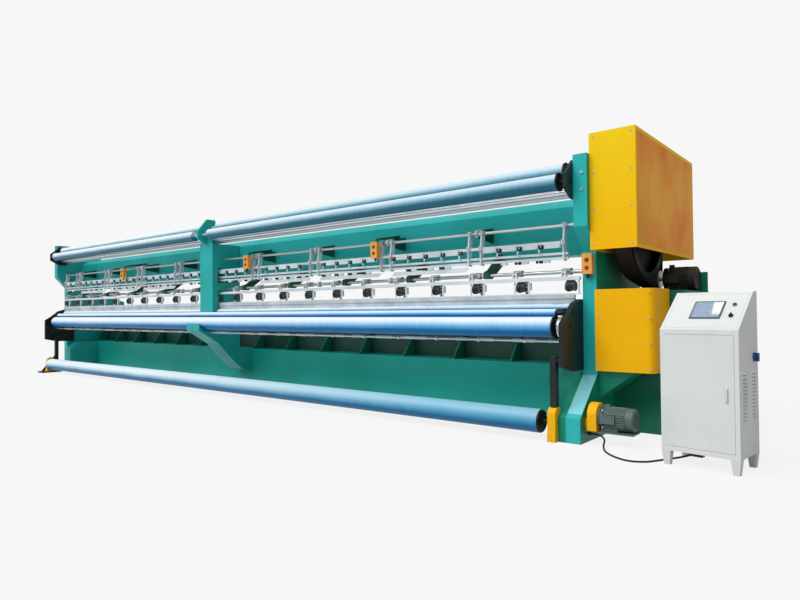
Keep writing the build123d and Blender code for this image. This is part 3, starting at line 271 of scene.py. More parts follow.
finishes = {
    "tealPaint": paint("tealPaint", rgb(38, 180, 180), rgb(24, 166, 162), rough=0.4),
    "framePaint": paint("framePaint", rgb(38, 184, 184), rgb(24, 170, 166), rough=0.4, shade=[
        # painted shade: the front of the block beside the near foot, inside X 5.735 and below Z 0.67, darker
        # green
        (rgb(4, 132, 108), ("X", 5.740, 5.730), ("Z", 0.680, 0.670)),
        # painted highlight: the sloping top of the near foot paler blue, standing for a reflection of the sky
        (rgb(130, 206, 214), ("X", 5.736, 5.738), ("Y", -0.870, -0.875), ("Z", 0.245, 0.255),
         ("Z", 0.66, 0.52)),
        # painted shade: the outer side faces of the near end frame, past X 5.864, darker green
        (rgb(4, 140, 112), ("X", 5.8640, 5.8648)),
    ]),
    # painted shade: a darker, greener copy of the frames' teal for the drive base and housing, whose seen
    # faces are mostly shaded sides
    "housingShadePaint": paint("housingShadePaint", rgb(8, 128, 100), rgb(4, 108, 84), rough=0.42),
    # painted light: the base beam's own teal is set brighter than the frames' to make up for the shade the
    # rollers cast on its front
    "basePaint": paint("basePaint", rgb(20, 188, 174), rgb(12, 172, 156), rough=0.45, shade=[
        # painted shade: the recess above Z 0.59 darker green
        (rgb(8, 112, 92), ("Z", 0.585, 0.600)),
        # painted shade: the back wall of the recess, behind Y -0.14, near black-green
        (rgb(44, 88, 78), ("Y", -0.14, -0.125), ("Z", 0.585, 0.600)),
    ]),
    "greenPaint": paint("greenPaint", rgb(22, 92, 80), rgb(12, 66, 56), rough=0.45),
    "enamel": paint("enamel", rgb(226, 232, 238), rgb(196, 206, 214), rough=0.35, cloud=3.0, shine=0.4),
    "darkPaint": paint("darkPaint", rgb(24, 34, 36), rgb(12, 20, 24), rough=0.45),
    "greyPaint": paint("greyPaint", rgb(205, 212, 218), rgb(176, 184, 190), rough=0.4, cloud=5.0),
    "yellowPaint": paint("yellowPaint", rgb(250, 186, 8), rgb(246, 176, 4), rough=0.4, coat=0.0, shine=0.12),
    # painted shade: the top cover, pale yellow at its top, deepens to orange-yellow towards its foot
    "coverPaint": paint("coverPaint", rgb(252, 212, 14), rgb(250, 204, 10), rough=0.4, coat=0.0, shine=0.12,
                        shade=[(rgb(248, 180, 6), ("Z", 2.72, 1.45))]),
    # painted shade: a darker, more orange copy of the cover's yellow for the side panel, which stands in
    # shade; its shade entry deepens it further towards the front and foot
    "coverSideShadePaint": paint("coverSideShadePaint", rgb(255, 176, 4), rgb(246, 128, 8), rough=0.3, coat=0.0, cloud=1.6,
                        shine=0.12, shade=[(rgb(230, 150, 4), ("Y", -0.55, -0.95), ("Z", 2.3, 1.9))]),
    "ringPlastic": plastic("ringPlastic", rgb(176, 84, 30), rough=0.35),
    "cabinetPaint": paint("cabinetPaint", rgb(222, 224, 223), rgb(212, 214, 213), rough=0.5, coat=0.05,
                          peel=0.0005),
    "motorPaint": paint("motorPaint", rgb(98, 116, 112), rgb(70, 86, 82), rough=0.4, peel=0.0012),
    "brownPaint": paint("brownPaint", rgb(62, 52, 44), rgb(40, 38, 36), rough=0.4, peel=0.0012),
    "topSkin": rollerSkin("topSkin", 2.299, 0.075, (-5.165, 5.625), rgb(206, 224, 236), rgb(134, 178, 198),
                          rgb(44, 116, 142)),
    "backSkin": rollerSkin("backSkin", 2.419, 0.075, (-5.165, 5.625), rgb(206, 224, 236), rgb(134, 178, 198),
                           rgb(44, 116, 142)),
    "filmSkin": rollerSkin("filmSkin", 0.994, 0.093, (-5.05, 5.59), rgb(226, 234, 250), rgb(110, 182, 230),
                           rgb(0, 116, 184)),
    "pressSkin": rollerSkin("pressSkin", 1.1197, 0.038, (-5.046, 5.586), rgb(216, 230, 250),
                            rgb(90, 168, 222), rgb(2, 100, 164)),
    "guideSkin": rollerSkin("guideSkin", 1.165, 0.036, (-5.15, 5.66), rgb(210, 226, 240), rgb(90, 168, 212),
                            rgb(8, 84, 130)),
    "batchSkin": rollerSkin("batchSkin", 0.163, 0.105, (-5.01, 5.50), rgb(140, 190, 212), rgb(84, 158, 194),
                            rgb(22, 116, 166)),
    "screenGlass": paint("screenGlass", rgb(160, 176, 200), rgb(134, 150, 176), rough=0.2, coat=0.3,
                         cloud=60.0, shade=[(rgb(236, 240, 244), ("X", 6.930, 6.942), ("Z", 1.10, 1.12))]),
    "aluminium": metal("aluminium", rgb(235, 240, 245), rough=0.3),
    "steel": metal("steel", rgb(200, 205, 208), rough=0.25),
    "darkSteel": metal("darkSteel", rgb(58, 60, 64), rough=0.42),
    "wheelIron": metal("wheelIron", rgb(40, 42, 46), rough=0.5),
    "orangePlastic": plastic("orangePlastic", rgb(250, 170, 70)),
    "blackPlastic": plastic("blackPlastic", rgb(18, 20, 24), rough=0.45),
    "redPlastic": plastic("redPlastic", rgb(176, 36, 24), rough=0.3),
    "greenPlastic": plastic("greenPlastic", rgb(24, 92, 60), rough=0.3),
    "bluePlastic": plastic("bluePlastic", rgb(24, 70, 128), rough=0.35),
    "greyPlastic": plastic("greyPlastic", rgb(96, 100, 104), rough=0.4),
    "beltRubber": plastic("beltRubber", rgb(20, 20, 22), rough=0.7, grain=0.0004),
    "chrome": metal("chrome", rgb(220, 222, 225), rough=0.12, stained=0.05),
}
print("finishes made")


def dress(finishName, *nodeNames):
    for nodeName in nodeNames:
        slots = nodes[nodeName].data.materials
        slots.clear()
        slots.append(finishes[finishName])


dress("tealPaint", "far_end_frame", "middle_frame", "back_beam")
dress("framePaint", "near_end_frame")
dress("housingShadePaint", "drive_base", "drive_housing")
dress("basePaint", "base_beam")
dress("darkPaint", "take_up_plates", "batch_guides", "roller_stands")
dress("greyPaint", "comb_bar")
dress("greenPaint", "beam_brackets")
dress("coverPaint", "top_cover")
dress("yellowPaint", "lower_cover", "batch_housings", "belt_guard")
dress("coverSideShadePaint", "cover_side_panel")
dress("topSkin", "top_roller_front")
dress("backSkin", "top_roller_back")
dress("filmSkin", "draw_roller")
dress("pressSkin", "press_roller")
dress("guideSkin", "guide_roller")
dress("batchSkin", "batch_roller")
dress("enamel", "guide_segments", "guide_bar_front", "guide_bar_rear", "swing_arms", "needle_bar")
dress("aluminium", "guide_tubes")
dress("steel", "draw_gear", "swing_shaft", "link_shaft", "collar_rod", "frame_bolts", "motor_pulley")
dress("darkSteel", "needle_clamps", "floor_pads")
dress("wheelIron", "drive_wheel")
dress("motorPaint", "winding_motor")
dress("brownPaint", "main_motor")
dress("beltRubber", "drive_belt", "motor_cable")
dress("orangePlastic", "button_boxes")
dress("cabinetPaint", "cabinet_body", "cabinet_door")
dress("chrome", "door_lock")
dress("screenGlass", "control_screen")
dress("greenPlastic", "cabinet_button")
dress("blackPlastic", "selector_knob", "cable_socket", "cable_glands")
dress("bluePlastic", "isolator_switch")
for number in (1, 2, 3, 4):
    dress("greenPlastic", f"start_button_{number}")
    dress("redPlastic", f"stop_button_{number}")


# The motor's cable, on the points of its route in metres
cableSettings = {
    "radius": 0.0075,
    "length": 1.32,
    "route": [
        (5.894, -1.085, 0.070),
        (5.975, -1.085, 0.070),
        (6.038, -1.150, 0.045),
        (6.066, -1.270, 0.020),
        (6.130, -1.410, 0.0075),
        (6.250, -1.540, 0.0075),
        (6.385, -1.615, 0.0075),
        (6.505, -1.562, 0.0075),
        (6.566, -1.440, 0.0075),
        (6.7379, -1.3572, 0.045),
        (6.7519, -1.2481, 0.045),
    ],
}


def makeCable(look):
    line = bpy.data.curves.new("motorCable", "CURVE")
    line.dimensions = "3D"
    line.bevel_depth = look["radius"]
    line.bevel_resolution = 6
    line.resolution_u = 24
    line.use_fill_caps = True
    spline = line.splines.new("NURBS")
    spline.points.add(len(look["route"]) - 1)
    for point, place in zip(spline.points, look["route"]):
        point.co = (*place, 1.0)
    spline.order_u = 3
    spline.use_endpoint_u = True
    cable = bpy.data.objects.new("motorCable", line)
    bpy.context.scene.collection.objects.link(cable)
    cable.data.materials.append(finishes["beltRubber"])
    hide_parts("motor_cable")
    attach(cable, "machine")


makeCable(cableSettings)
print("cable laid")


# Meshes from numpy: rings (k, n, 3) of n points joined one to the next, ends closed by one face each
def ringFaces(count, sides, capped):
    index = np.arange(count * sides).reshape(count, sides)
    after = np.roll(index, -1, axis=1)
    sheets = np.stack([index[:-1], after[:-1], after[1:], index[1:]], axis=-1).reshape(-1, 4)
    faces = sheets.tolist()
    if capped:
        faces += [index[0][::-1].tolist(), index[-1].tolist()]
    return faces


# One piece of m blocks, each of such rings, from an (m, k, n, 3) array
def makeBlocks(name, finishName, body, blocks, capped=True):
    number, count, sides = blocks.shape[:3]
    base = ringFaces(count, sides, capped)
    step = count * sides
    faces = [[corner + step * block for corner in face] for block in range(number) for face in base]
    mesh = bpy.data.meshes.new(name)
    mesh.from_pydata(blocks.reshape(-1, 3).tolist(), [], faces)
    mesh.polygons.foreach_set("use_smooth", np.zeros(len(faces), bool))
    mesh.update()
    build = bmesh.new()
    build.from_mesh(mesh)
    bmesh.ops.recalc_face_normals(build, faces=build.faces)
    build.to_mesh(mesh)
    build.free()
    piece = bpy.data.objects.new(name, mesh)
    bpy.context.scene.collection.objects.link(piece)
    mesh.materials.append(finishes[finishName])
    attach(piece, body)


# The same rings at every place of an (m, 3) array
def makeRings(name, finishName, body, rings, places=((0, 0, 0),), capped=True):
    blocks = rings + np.asarray(places, float)[:, None, None]
    makeBlocks(name, finishName, body, blocks, capped)


# Turned form: (along, radius) steps about an axis through the origin, along X, Y or Z
def turned(steps, sides, along="X"):
    steps = np.asarray(steps, float)
    angle = 2 * pi * np.arange(sides) / sides
    length = np.repeat(steps[:, :1], sides, axis=1)
    first = steps[:, 1:] * np.cos(angle)[None]
    second = steps[:, 1:] * np.sin(angle)[None]
    order = {"X": (length, first, second), "Y": (second, length, first), "Z": (first, second, length)}[along]
    return np.stack(order, axis=-1)


# Box with its four long edges cut off: an eight sided ring at each end, long along X, Y or Z
def cutBlock(size, cut, along="X"):
    axis = "XYZ".index(along)
    wide, high = (size[k] / 2 for k in range(3) if k != axis)
    edge = [(wide, cut - high), (wide, high - cut), (wide - cut, high), (cut - wide, high),
            (-wide, high - cut), (-wide, cut - high), (cut - wide, -high), (wide - cut, -high)]
    ring = np.insert(np.array(edge), axis, 0.0, axis=1)
    step = np.zeros(3)
    step[axis] = size[axis] / 2
    return np.stack([ring - step, ring + step])


# Heads of hexagon bolts: washer, shoulder and chamfered top, in shares of the head's reach and height
headSettings = {"washerReach": 1.35, "washerHeight": 0.12, "chamfer": 0.2, "topReach": 0.82}


def hexHeads(name, body, places, reach, height, along):
    washer = height * headSettings["washerHeight"]
    wide = reach * headSettings["washerReach"]
    steps = [(0.0, wide), (washer, wide), (washer, reach),
             (height - height * headSettings["chamfer"], reach), (height, reach * headSettings["topReach"])]
    makeRings(name, "steel", body, turned(steps, 6, along), places)


# Disc about X whose rim has teeth or fins: (along, radius) steps, every point of a fin's foot "deep" lower
def finned(steps, fins, deep):
    flat = turned(steps, fins * 4)
    foot = turned([(place, radius - deep) for place, radius in steps], fins * 4)
    inFoot = (np.arange(fins * 4) % 4 < 2)[None, :, None]
    return np.where(inFoot, foot, flat)


# Flat plate of any outline in X and Z, between two values of Y
def plateRings(outline, front, back):
    corners = np.asarray(outline, float)
    ring = np.stack([corners[:, 0], np.zeros(len(corners)), corners[:, 1]], axis=1)
    return np.stack([ring + (0, front, 0), ring + (0, back, 0)])


# Where parts repeat along the machine, in metres
runSettings = {
    "nearFirst": 5.631, "nearCount": 11, "farFirst": -5.150, "farCount": 10, "bay": 0.508,
    "hangerFirst": 1.0, "hangerPitch": 1.205, "armShift": 0.074,
    "hangerCount": 4, "segmentNear": 5.470, "segmentFar": -5.050, "segmentPitch": 0.228, "nearGaps": 23,
    "farGaps": 21, "clampClear": 0.045, "blockClear": 0.105,
}


def runPlaces(look):
    near = look["nearFirst"] - look["bay"] * np.arange(look["nearCount"])
    far = look["farFirst"] + look["bay"] * np.arange(look["farCount"])
    hangers = look["hangerFirst"] + look["hangerPitch"] * np.arange(look["hangerCount"])
    hangers = np.concatenate([-hangers[::-1], hangers])
    arms = np.concatenate([hangers - look["armShift"], hangers + look["armShift"]])
    gaps = np.concatenate([
        look["segmentNear"] - look["segmentPitch"] * (np.arange(look["nearGaps"]) + 0.5),
        look["segmentFar"] + look["segmentPitch"] * (np.arange(look["farGaps"]) + 0.5),
    ])
    reach = np.abs(gaps[:, None] - arms[None]).min(axis=1)
    return {"groups": np.concatenate([far, near[::-1]]), "hangers": hangers, "arms": arms,
            "gaps": gaps[reach > look["clampClear"]], "clear": gaps[reach > look["blockClear"]]}


def alongX(values, y, z):
    values = np.asarray(values, float)
    return np.stack([values, np.full(len(values), y), np.full(len(values), z)], axis=1)


run = runPlaces(runSettings)

# What rides with the needles: notched drum, drum plate, bracket with its bolts and thread tube at each group
groupSettings = {
    "y": -0.878, "z": 1.368, "bracketedTo": 5.6, "bracketTop": 1.422, "bracketFoot": 1.304, "slabShare": 0.62,
    "drumRadius": 0.0505, "drumChamfer": 0.006, "teeth": 14, "toothDepth": 0.007,
    "plate": [(-0.047, 0.038), (-0.0465, 0.043), (-0.037, 0.043), (-0.0365, 0.030), (-0.033, 0.030)],
    "hub": [(-0.056, 0.009), (-0.055, 0.012), (-0.047, 0.012)],
    "flange": [(0.004, 0.0405), (0.004, 0.0455), (0.009, 0.0470), (0.014, 0.0455), (0.019, 0.043),
               (0.036, 0.043), (0.043, 0.0465), (0.047, 0.0465), (0.047, 0.030)],
    "thread": [(-0.060, 0.0065), (-0.054, 0.009), (0.050, 0.009), (0.054, 0.0065)],
    "bracketX": 0.064, "slabX": 0.104, "threadX": -0.070, "boltRises": (-0.040, 0.004, 0.036),
}


def makeGroups(look):
    every = alongX(run["groups"], look["y"], look["z"])
    inner = every[run["groups"] < look["bracketedTo"]]
    radius, low = look["drumRadius"], look["drumRadius"] - look["drumChamfer"]
    drum = finned([(-0.034, low), (-0.030, radius), (-0.006, radius), (-0.002, low)],
                  look["teeth"], look["toothDepth"])
    makeRings("drumTeeth", "blackPlastic", "needles", drum, every)
    makeRings("drumPlates", "enamel", "needles", turned(look["plate"], 24), every)
    makeRings("drumHubs", "steel", "needles", turned(look["hub"], 12), every)
    makeRings("drumFlanges", "greyPlastic", "needles", turned(look["flange"], 28), every)
    rise = (look["bracketTop"] + look["bracketFoot"]) / 2 - look["z"]
    height = look["bracketTop"] - look["bracketFoot"]
    bracket = cutBlock((0.022, 0.030, height), 0.004, "Z")
    places = inner + (look["bracketX"], -0.004, rise)
    makeRings("groupBrackets", "darkPaint", "needles", bracket, places)
    slab = cutBlock((0.012, 0.034, height * look["slabShare"]), 0.003, "Z")
    places = inner + (look["slabX"], -0.006, rise + 0.012)
    makeRings("groupSlabs", "enamel", "needles", slab, places)
    heads = np.concatenate([inner + (look["bracketX"], -0.019, step) for step in look["boltRises"]])
    hexHeads("groupBolts", "needles", heads, 0.0055, -0.005, "Y")
    places = inner + (look["threadX"], -0.002, -0.002)
    makeRings("threadTubes", "enamel", "needles", turned(look["thread"], 10, "Z"), places)


makeGroups(groupSettings)
print("needle groups made")

# What rides with the swing arms: clamps in the gaps of the segments, their screws, levers, collars and caps
swingSettings = {
    "clampY": -0.917, "clampZ": 1.744, "leverTop": 1.758, "leverFoot": 1.688, "shaft": (-0.870, 1.938),
    "stationClear": 0.09, "endArms": [-5.164, 5.584], "collarSide": 0.020,
}

# Places of the four stations, and the rings round their buttons
stationSettings = {
    "places": [(5.799, -0.912, 1.565), (-2.640, -1.012, 1.855), (0.912, -1.012, 1.855),
               (3.309, -1.012, 1.855)],
    "rise": 0.036, "outer": 0.0215, "inner": 0.0152,
}


def makeSwingParts(look):
    gaps = alongX(run["gaps"], look["clampY"], look["clampZ"])
    clamp = cutBlock((0.046, 0.016, 0.040), 0.004, "Z")
    makeRings("segmentClamps", "darkPaint", "swing", clamp, gaps)
    hexHeads("segmentScrews", "swing", gaps + (0, -0.008, 0.004), 0.0065, -0.006, "Y")
    top, foot = look["leverTop"], look["leverFoot"]
    lever = plateRings([(-0.030, foot), (-0.016, foot), (-0.006, top - 0.018), (-0.006, top), (-0.020, top)],
                       -0.921, -0.915)
    makeRings("segmentLevers", "enamel", "swing", lever, alongX(run["gaps"], 0.0, 0.0))
    y, z = look["shaft"]
    arms = np.concatenate([run["arms"], look["endArms"]])
    collar = turned([(-0.011, 0.021), (-0.009, 0.026), (0.009, 0.026), (0.011, 0.021)], 20)
    sides = np.concatenate([arms - look["collarSide"], arms + look["collarSide"]])
    makeRings("shaftCollars", "steel", "swing", collar, alongX(sides, y, z))
    pad = cutBlock((0.034, 0.012, 0.052), 0.005, "Z")
    stations = np.array([x for x, _, _ in stationSettings["places"]])
    free = arms[np.abs(arms[:, None] - stations[None]).min(axis=1) > look["stationClear"]]
    pads = np.concatenate([alongX(free, -0.934, 1.777), alongX(free, -0.906, 1.938)])
    makeRings("armPads", "enamel", "swing", pad, pads)
    hexHeads("armBolts", "swing", pads + (0, -0.006, 0.012), 0.0075, -0.007, "Y")
    hexHeads("armBoltsLow", "swing", pads + (0, -0.006, -0.013), 0.0075, -0.007, "Y")
    web = plateRings([(-0.007, 1.69), (0.007, 1.69), (0.007, 1.75), (-0.007, 1.75)], -0.931, -0.9285)
    makeRings("armStiffeners", "greyPaint", "swing", web, alongX(arms, 0.0, 0.0))


makeSwingParts(swingSettings)

# Clips on the front guide bar, and guide blocks with their long plates under the rear one
barSettings = {
    "clipY": -0.912, "frontZ": 1.674, "screwOut": 0.003, "rearY": -0.890, "rearZ": 1.607,
    "plate": (1.549, 1.590), "plateFaces": (-0.893, -0.888), "plateClear": 0.105, "plateSlant": 0.006,
    # under the rear bar, as piece: (finish, slot, size, cut, step along X)
    "blocks": {
        "guideBlocks": ("enamel", "white_paint", (0.070, 0.020, 0.024), 0.003, 0.045),
        "guideShoes": ("darkPaint", "dark_steel", (0.030, 0.026, 0.028), 0.004, -0.015),
        "guideStops": ("darkPaint", "dark_steel", (0.016, 0.024, 0.026), 0.004, -0.055),
    },
}


def makeBarParts(look):
    clips = alongX(run["gaps"], look["clipY"], look["frontZ"])
    clip = cutBlock((0.018, 0.006, 0.026), 0.002, "Z")
    makeRings("barClips", "enamel", "front_bar", clip, clips)
    hexHeads("clipScrews", "front_bar", clips - (0, look["screwOut"], 0), 0.005, -0.004, "Y")
    for name, (finishName, slotName, size, cut, step) in look["blocks"].items():
        places = alongX(run["clear"] + step, look["rearY"], look["rearZ"])
        makeRings(name, finishName, "rear_bar", cutBlock(size, cut), places)
    low, high = look["plate"]
    top = high + look["plateSlant"]
    halfPitch = runSettings["hangerPitch"] / 2
    half = halfPitch - look["plateClear"]
    # one plate in each bay but the fourth, where the middle frame stands
    middles = np.delete(run["hangers"][:-1] + halfPitch, 3)
    plate = plateRings([(-half - 0.03, low), (half - 0.03, low), (half + 0.02, high), (half - 0.02, top),
                        (0.02 - half, top), (0.0 - half, high)], *look["plateFaces"])
    makeRings("longPlates", "enamel", "rear_bar", plate, alongX(middles, 0.0, 0.0))


makeBarParts(barSettings)
print("swing and bar parts made")

# What is fixed: bearing caps of the swing shaft, feet of the posts, sleeves of the collar rod
fixedSettings = {
    "shaft": (-0.870, 1.938), "link": (-0.820, 1.505), "rod": (-1.100, 0.866), "sleeve": 0.0165,
    "sleeves": [(3.833, 4.130), (4.497, 4.629), (4.769, 4.939), (5.145, 5.384), (5.513, 5.542)],
    "repeat": 1.720, "repeats": 6, "farEnd": -5.15, "frameHalf": 0.2, "footBack": 0.045, "boltSide": 0.02,
    "shaftCap": [(-0.017, 0.030), (-0.014, 0.035), (0.014, 0.035), (0.017, 0.030)],
    "linkCap": [(-0.020, 0.030), (-0.016, 0.034), (0.016, 0.034), (0.020, 0.030)],
}


def makeFixedParts(look):
    hangers = run["hangers"]
    y, z = look["shaft"]
    cap = turned(look["shaftCap"], 28)
    makeRings("shaftCaps", "enamel", "machine", cap, alongX(hangers, y, z))
    foot = cutBlock((0.060, 0.050, 0.016), 0.004, "Z")
    back = y + look["footBack"]
    makeRings("capFeet", "greyPaint", "machine", foot, alongX(hangers, back, z + 0.040))
    bolts = np.concatenate([hangers - look["boltSide"], hangers + look["boltSide"]])
    hexHeads("capBolts", "machine", alongX(bolts, back, z + 0.048), 0.0065, 0.007, "Z")
    cap = turned(look["linkCap"], 28)
    makeRings("linkCaps", "greyPaint", "machine", cap, alongX(hangers, *look["link"]))
    y, z = look["rod"]
    radius = look["sleeve"]
    sleeves = [(low - look["repeat"] * k, high - look["repeat"] * k)
               for k in range(look["repeats"]) for low, high in look["sleeves"]]
    tubes = []
    for low, high in sleeves:
        inFrame = low < look["frameHalf"] and high > -look["frameHalf"]
        if low < look["farEnd"] or inFrame:
            continue
        tube = turned([(low, radius - 0.002), (low + 0.003, radius), (high - 0.003, radius),
                       (high, radius - 0.002)], 14)
        tubes.append(tube + (0, y, z))
    makeBlocks("rodSleeves", "enamel", "machine", np.array(tubes))


makeFixedParts(fixedSettings)

# Motors: cooling fins, cowl rings and a centre boss, each about its own axis
motorSettings = {
    "main": {
        "axis": (0.150, 1.444), "radius": 0.112, "fins": (6.235, 6.405), "end": 6.480, "paint": "brownPaint",
    },
    "winding": {
        "axis": (-1.100, 0.225), "radius": 0.092, "fins": (6.030, 6.215), "end": 6.285, "paint": "motorPaint",
    },
}


def makeMotor(name, look):
    y, z = look["axis"]
    r = look["radius"]
    low, high = look["fins"]
    fins = finned([(low, r), (low + 0.004, r + 0.006), (high - 0.004, r + 0.006), (high, r)], 30, 0.008)
    makeRings(name + "Fins", look["paint"], "machine", fins + (0, y, z))
    end = look["end"]
    rim = [(high + 0.006, r + 0.001), (high + 0.008, r + 0.004), (end - 0.010, r + 0.004), (end, r - 0.006)]
    rings = []
    for share in (0.86, 0.72, 0.58, 0.44, 0.30):
        rings += [(end + 0.004, r * share), (end + 0.004, r * (share - 0.06)),
                  (end - 0.003, r * (share - 0.065)), (end - 0.003, r * (share - 0.13))]
    makeRings(name + "Cowl", look["paint"], "machine", turned(rim + rings, 40) + (0, y, z))
    band = turned([(low - 0.012, r + 0.001), (low - 0.011, r + 0.008), (low - 0.004, r + 0.008),
                   (low - 0.003, r + 0.001)], 40)
    makeRings(name + "Flange", look["paint"], "machine", band + (0, y, z))
    angle = np.radians([45, 135, 225, 315])
    out = r + 0.007
    ears = np.stack([np.full(4, low - 0.006), y + out * np.cos(angle), z + out * np.sin(angle)], axis=1)
    hexHeads(name + "Bolts", "machine", ears, 0.008, 0.007, "X")


for motorName, motorLook in motorSettings.items():
    makeMotor(motorName, motorLook)
print("motors made")

# Screws on the covers and plates: corners of each face, as node: (face axis, inset, reach)
screwSettings = {
    "top_cover": ("Y", 0.040, 0.0075),
    "lower_cover": ("Y", 0.035, 0.0075),
    "cover_side_panel": ("X", 0.030, 0.006),
}


def makeScrews(look):
    for nodeName, (axis, inset, reach) in look.items():
        low, high = (np.array(corner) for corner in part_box(nodeName))
        if axis == "Y":
            first = np.array([low[0] + inset, high[0] - inset])
            ups = np.linspace(low[2] + inset, high[2] - inset, 4)
            places = np.array([(x, low[1], z) for x in first for z in ups])
            hexHeads(nodeName + "Screws", "machine", places, reach, -0.005, "Y")
        else:
            first = np.linspace(low[1] + inset, high[1] - inset, 5)
            places = np.array([(high[0], y, z) for y in first for z in (low[2] + inset, high[2] - inset)])
            hexHeads(nodeName + "Screws", "machine", places, reach, 0.005, "X")


makeScrews(screwSettings)


# Rings round the buttons of the stations, and the gland with its lead under each box
def makeStations(look):
    places = np.array(look["places"])
    both = np.concatenate([places + (0, 0, look["rise"]), places - (0, 0, look["rise"])])
    outer, inner = look["outer"], look["inner"]
    ring = turned([(0.0005, outer), (-0.003, outer - 0.001), (-0.004, inner + 0.001), (-0.0035, inner),
                   (0.0005, inner)], 28, "Y")
    makeRings("buttonRings", "ringPlastic", "machine", ring, both, capped=False)
    corners = np.concatenate([places + (x, -0.0005, z) for x in (-0.038, 0.038) for z in (-0.082, 0.082)])
    hexHeads("stationScrews", "machine", corners, 0.0032, -0.002, "Y")
    gland = turned([(0.0, 0.010), (-0.006, 0.014), (-0.020, 0.014), (-0.024, 0.009), (-0.036, 0.0085)],
                   14, "Z")
    under = places + (0, 0.030, -0.093)
    makeRings("stationGlands", "blackPlastic", "machine", gland, under)


makeStations(stationSettings)

# Control cabinet: its own frame of width, depth and height, turned about its front left corner
cabinetSettings = {
    "corner": (6.600, -1.505), "turn": -7.3, "slopeFoot": 0.999, "slopeRise": (0.273, 0.325), "side": 0.539,
    "screen": (0.282, 0.213), "screenSize": (0.210, 0.186), "screenGap": 0.004, "bezel": (0.012, 0.010),
    "border": (0.505, 0.385, 0.005, 0.0022), "borderPlace": (0.2695, 0.2115, 0.0),
    "louvres": (0.110, 0.305), "louvreCount": 13, "louvreFoot": 0.380, "louvrePitch": 0.026,
    "hoodHalf": 0.040, "hoodOut": 0.010, "hoodTop": 0.009, "hoodFoot": 0.004, "hoodPoints": 9,
    "slotSize": (0.002, 0.070, 0.006), "slotCut": 0.0005, "slotOut": 0.0006, "slotDrop": 0.008,
}


def cabinetPlace(local, look):
    turn = radians(look["turn"])
    x, y = local[..., 0], local[..., 1]
    return np.stack([look["corner"][0] + x * cos(turn) - y * sin(turn),
                     look["corner"][1] + x * sin(turn) + y * cos(turn), local[..., 2]], axis=-1)


# Points given as across, up and out of the sloping console
def slopePlace(points, look):
    slope = np.arctan2(*look["slopeRise"])
    u, v, n = (points[..., k] for k in range(3))
    local = np.stack([u, v * np.cos(slope) - n * np.sin(slope),
                      look["slopeFoot"] + v * np.sin(slope) + n * np.cos(slope)], axis=-1)
    return cabinetPlace(local, look)


# Four sided moulding round a rectangle: its section is carried round the four corners
def frameRings(width, height, band, rise):
    corners = np.array([(-1, -1), (1, -1), (1, 1), (-1, 1)], float)
    section = [(0.0, 0.0), (0.15 * band, rise), (band - 0.15 * band, rise), (band, 0.0)]
    rings = np.array([[(cx * (width / 2 - inset), cy * (height / 2 - inset), out) for inset, out in section]
                      for cx, cy in corners])
    return np.concatenate([rings, rings[:1]])


def makeCabinetParts(look):
    u, v = look["screen"]
    width, height = (size + look["screenGap"] for size in look["screenSize"])
    bezel = slopePlace(frameRings(width, height, *look["bezel"]) + (u, v, 0.0), look)
    makeRings("screenBezel", "greyPlastic", "machine", bezel, capped=False)
    border = slopePlace(frameRings(*look["border"]) + look["borderPlace"], look)
    makeRings("consoleBorder", "cabinetPaint", "machine", border, capped=False)
    # a hood bulges out of the cabinet's side as half an ellipse, over a thin black sheet, painted shade for
    # its slot's opening
    half, count = look["hoodHalf"], look["hoodPoints"]
    across = np.linspace(-half, half, count)
    bulge = look["hoodOut"] * np.sqrt(np.clip(1 - (across / half) ** 2, 0, 1))
    side = np.full(count, look["side"])
    slot = cutBlock(look["slotSize"], look["slotCut"], "Y")
    hoods, slots = [], []
    for depth in look["louvres"]:
        for step in range(look["louvreCount"]):
            z = look["louvreFoot"] + look["louvrePitch"] * step
            upper, lower = np.full(count, z + look["hoodTop"]), np.full(count, z - look["hoodFoot"])
            top = np.stack([side, depth + across, upper], axis=1)
            lip = np.stack([side + bulge, depth + across, lower], axis=1)
            back = np.stack([side, depth + across, lower], axis=1)
            hoods.append(np.stack([top, lip, back], axis=1))
            slots.append(slot + (look["side"] + look["slotOut"], depth, z - look["slotDrop"]))
    hoods, slots = cabinetPlace(np.array(hoods), look), cabinetPlace(np.array(slots), look)
    makeBlocks("louvreHoods", "enamel", "machine", hoods)
    # painted shade: the black sheets stand for the shadowed openings under the hoods
    makeBlocks("louvreSlotShades", "blackPlastic", "machine", slots)


makeCabinetParts(cabinetSettings)
print("stations and cabinet parts made")


# Pale floor, which glows only where the camera or a reflection sees it
stageSettings = {"tone": 0.5, "half": 60.0, "seen": 0.82, "glow": 1.02}


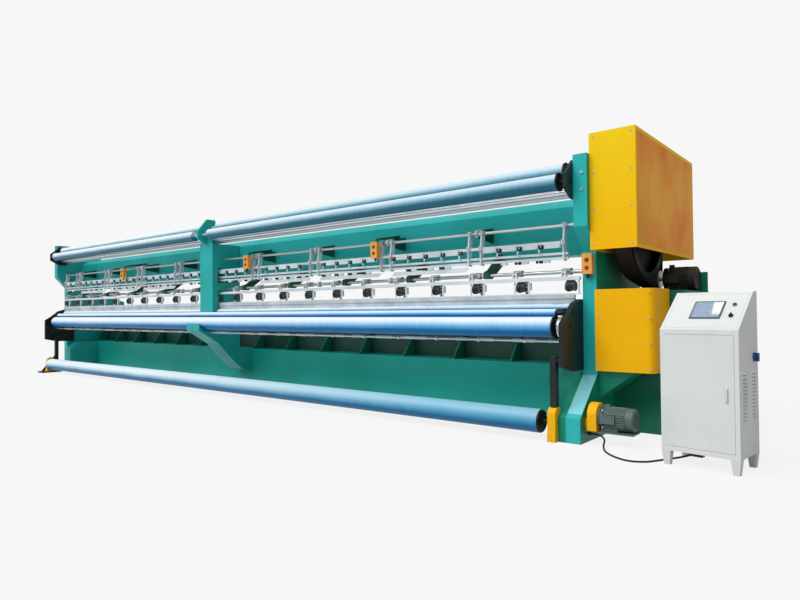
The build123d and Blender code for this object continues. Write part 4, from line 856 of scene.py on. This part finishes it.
def makeStage(look):
    half = look["half"]
    sheet = bpy.data.meshes.new("floor")
    corners = [(-half, -half, 0), (half, -half, 0), (half, half, 0), (-half, half, 0)]
    sheet.from_pydata(corners, [], [(0, 1, 2, 3)])
    floor = bpy.data.objects.new("floor", sheet)
    bpy.context.scene.collection.objects.link(floor)
    finish = Finish("floorPaper")
    shade = (look["tone"],) * 3 + (1.0,)
    grain = finish.noise(finish.place, 3.0, 3.0)
    paper = finish.node("BsdfDiffuse", {}, {"Color": shade, "Normal": finish.bump(grain, 0.0005)})
    glow = finish.node("Emission", {}, {"Color": (1, 1, 1, 1), "Strength": look["glow"]})
    seen = finish.node("LightPath", out="Is Camera Ray") + finish.node("LightPath", out="Is Glossy Ray")
    finish.connect(finish.node("MixShader", {}, {0: seen * look["seen"], 1: paper, 2: glow}))
    sheet.materials.append(finish.material)


# Ambient light of one tone, another tone where the camera sees it, and a broad soft sun
lightSettings = {
    "ambient": (0.98, 1.0, 0.92, 1.0), "ambientStrength": 0.45, "seen": (0.93, 0.93, 0.93, 1.0),
    "seenStrength": 1.0, "sun": 2.6, "sunColour": (0.94, 0.97, 1.0), "sunAngle": 50,
    "sunFrom": (-0.25, -0.55, 0.78),
}


def makeLight(look):
    world = bpy.data.worlds.new("studio")
    bpy.context.scene.world = world
    world.use_nodes = True
    tree = world.node_tree
    tree.nodes.clear()
    path = tree.nodes.new("ShaderNodeLightPath")
    ambient = tree.nodes.new("ShaderNodeBackground")
    ambient.inputs["Color"].default_value = look["ambient"]
    ambient.inputs["Strength"].default_value = look["ambientStrength"]
    seen = tree.nodes.new("ShaderNodeBackground")
    seen.inputs["Color"].default_value = look["seen"]
    seen.inputs["Strength"].default_value = look["seenStrength"]
    mix = tree.nodes.new("ShaderNodeMixShader")
    end = tree.nodes.new("ShaderNodeOutputWorld")
    tree.links.new(path.outputs["Is Camera Ray"], mix.inputs[0])
    tree.links.new(ambient.outputs[0], mix.inputs[1])
    tree.links.new(seen.outputs[0], mix.inputs[2])
    tree.links.new(mix.outputs[0], end.inputs["Surface"])
    sun = bpy.data.lights.new("softSun", "SUN")
    sun.energy = look["sun"]
    sun.color = look["sunColour"]
    sun.angle = radians(look["sunAngle"])
    lamp = bpy.data.objects.new("softSun", sun)
    bpy.context.scene.collection.objects.link(lamp)
    lamp.rotation_euler = Vector(look["sunFrom"]).to_track_quat("Z", "Y").to_euler()


makeStage(stageSettings)
makeLight(lightSettings)
print("stage set")
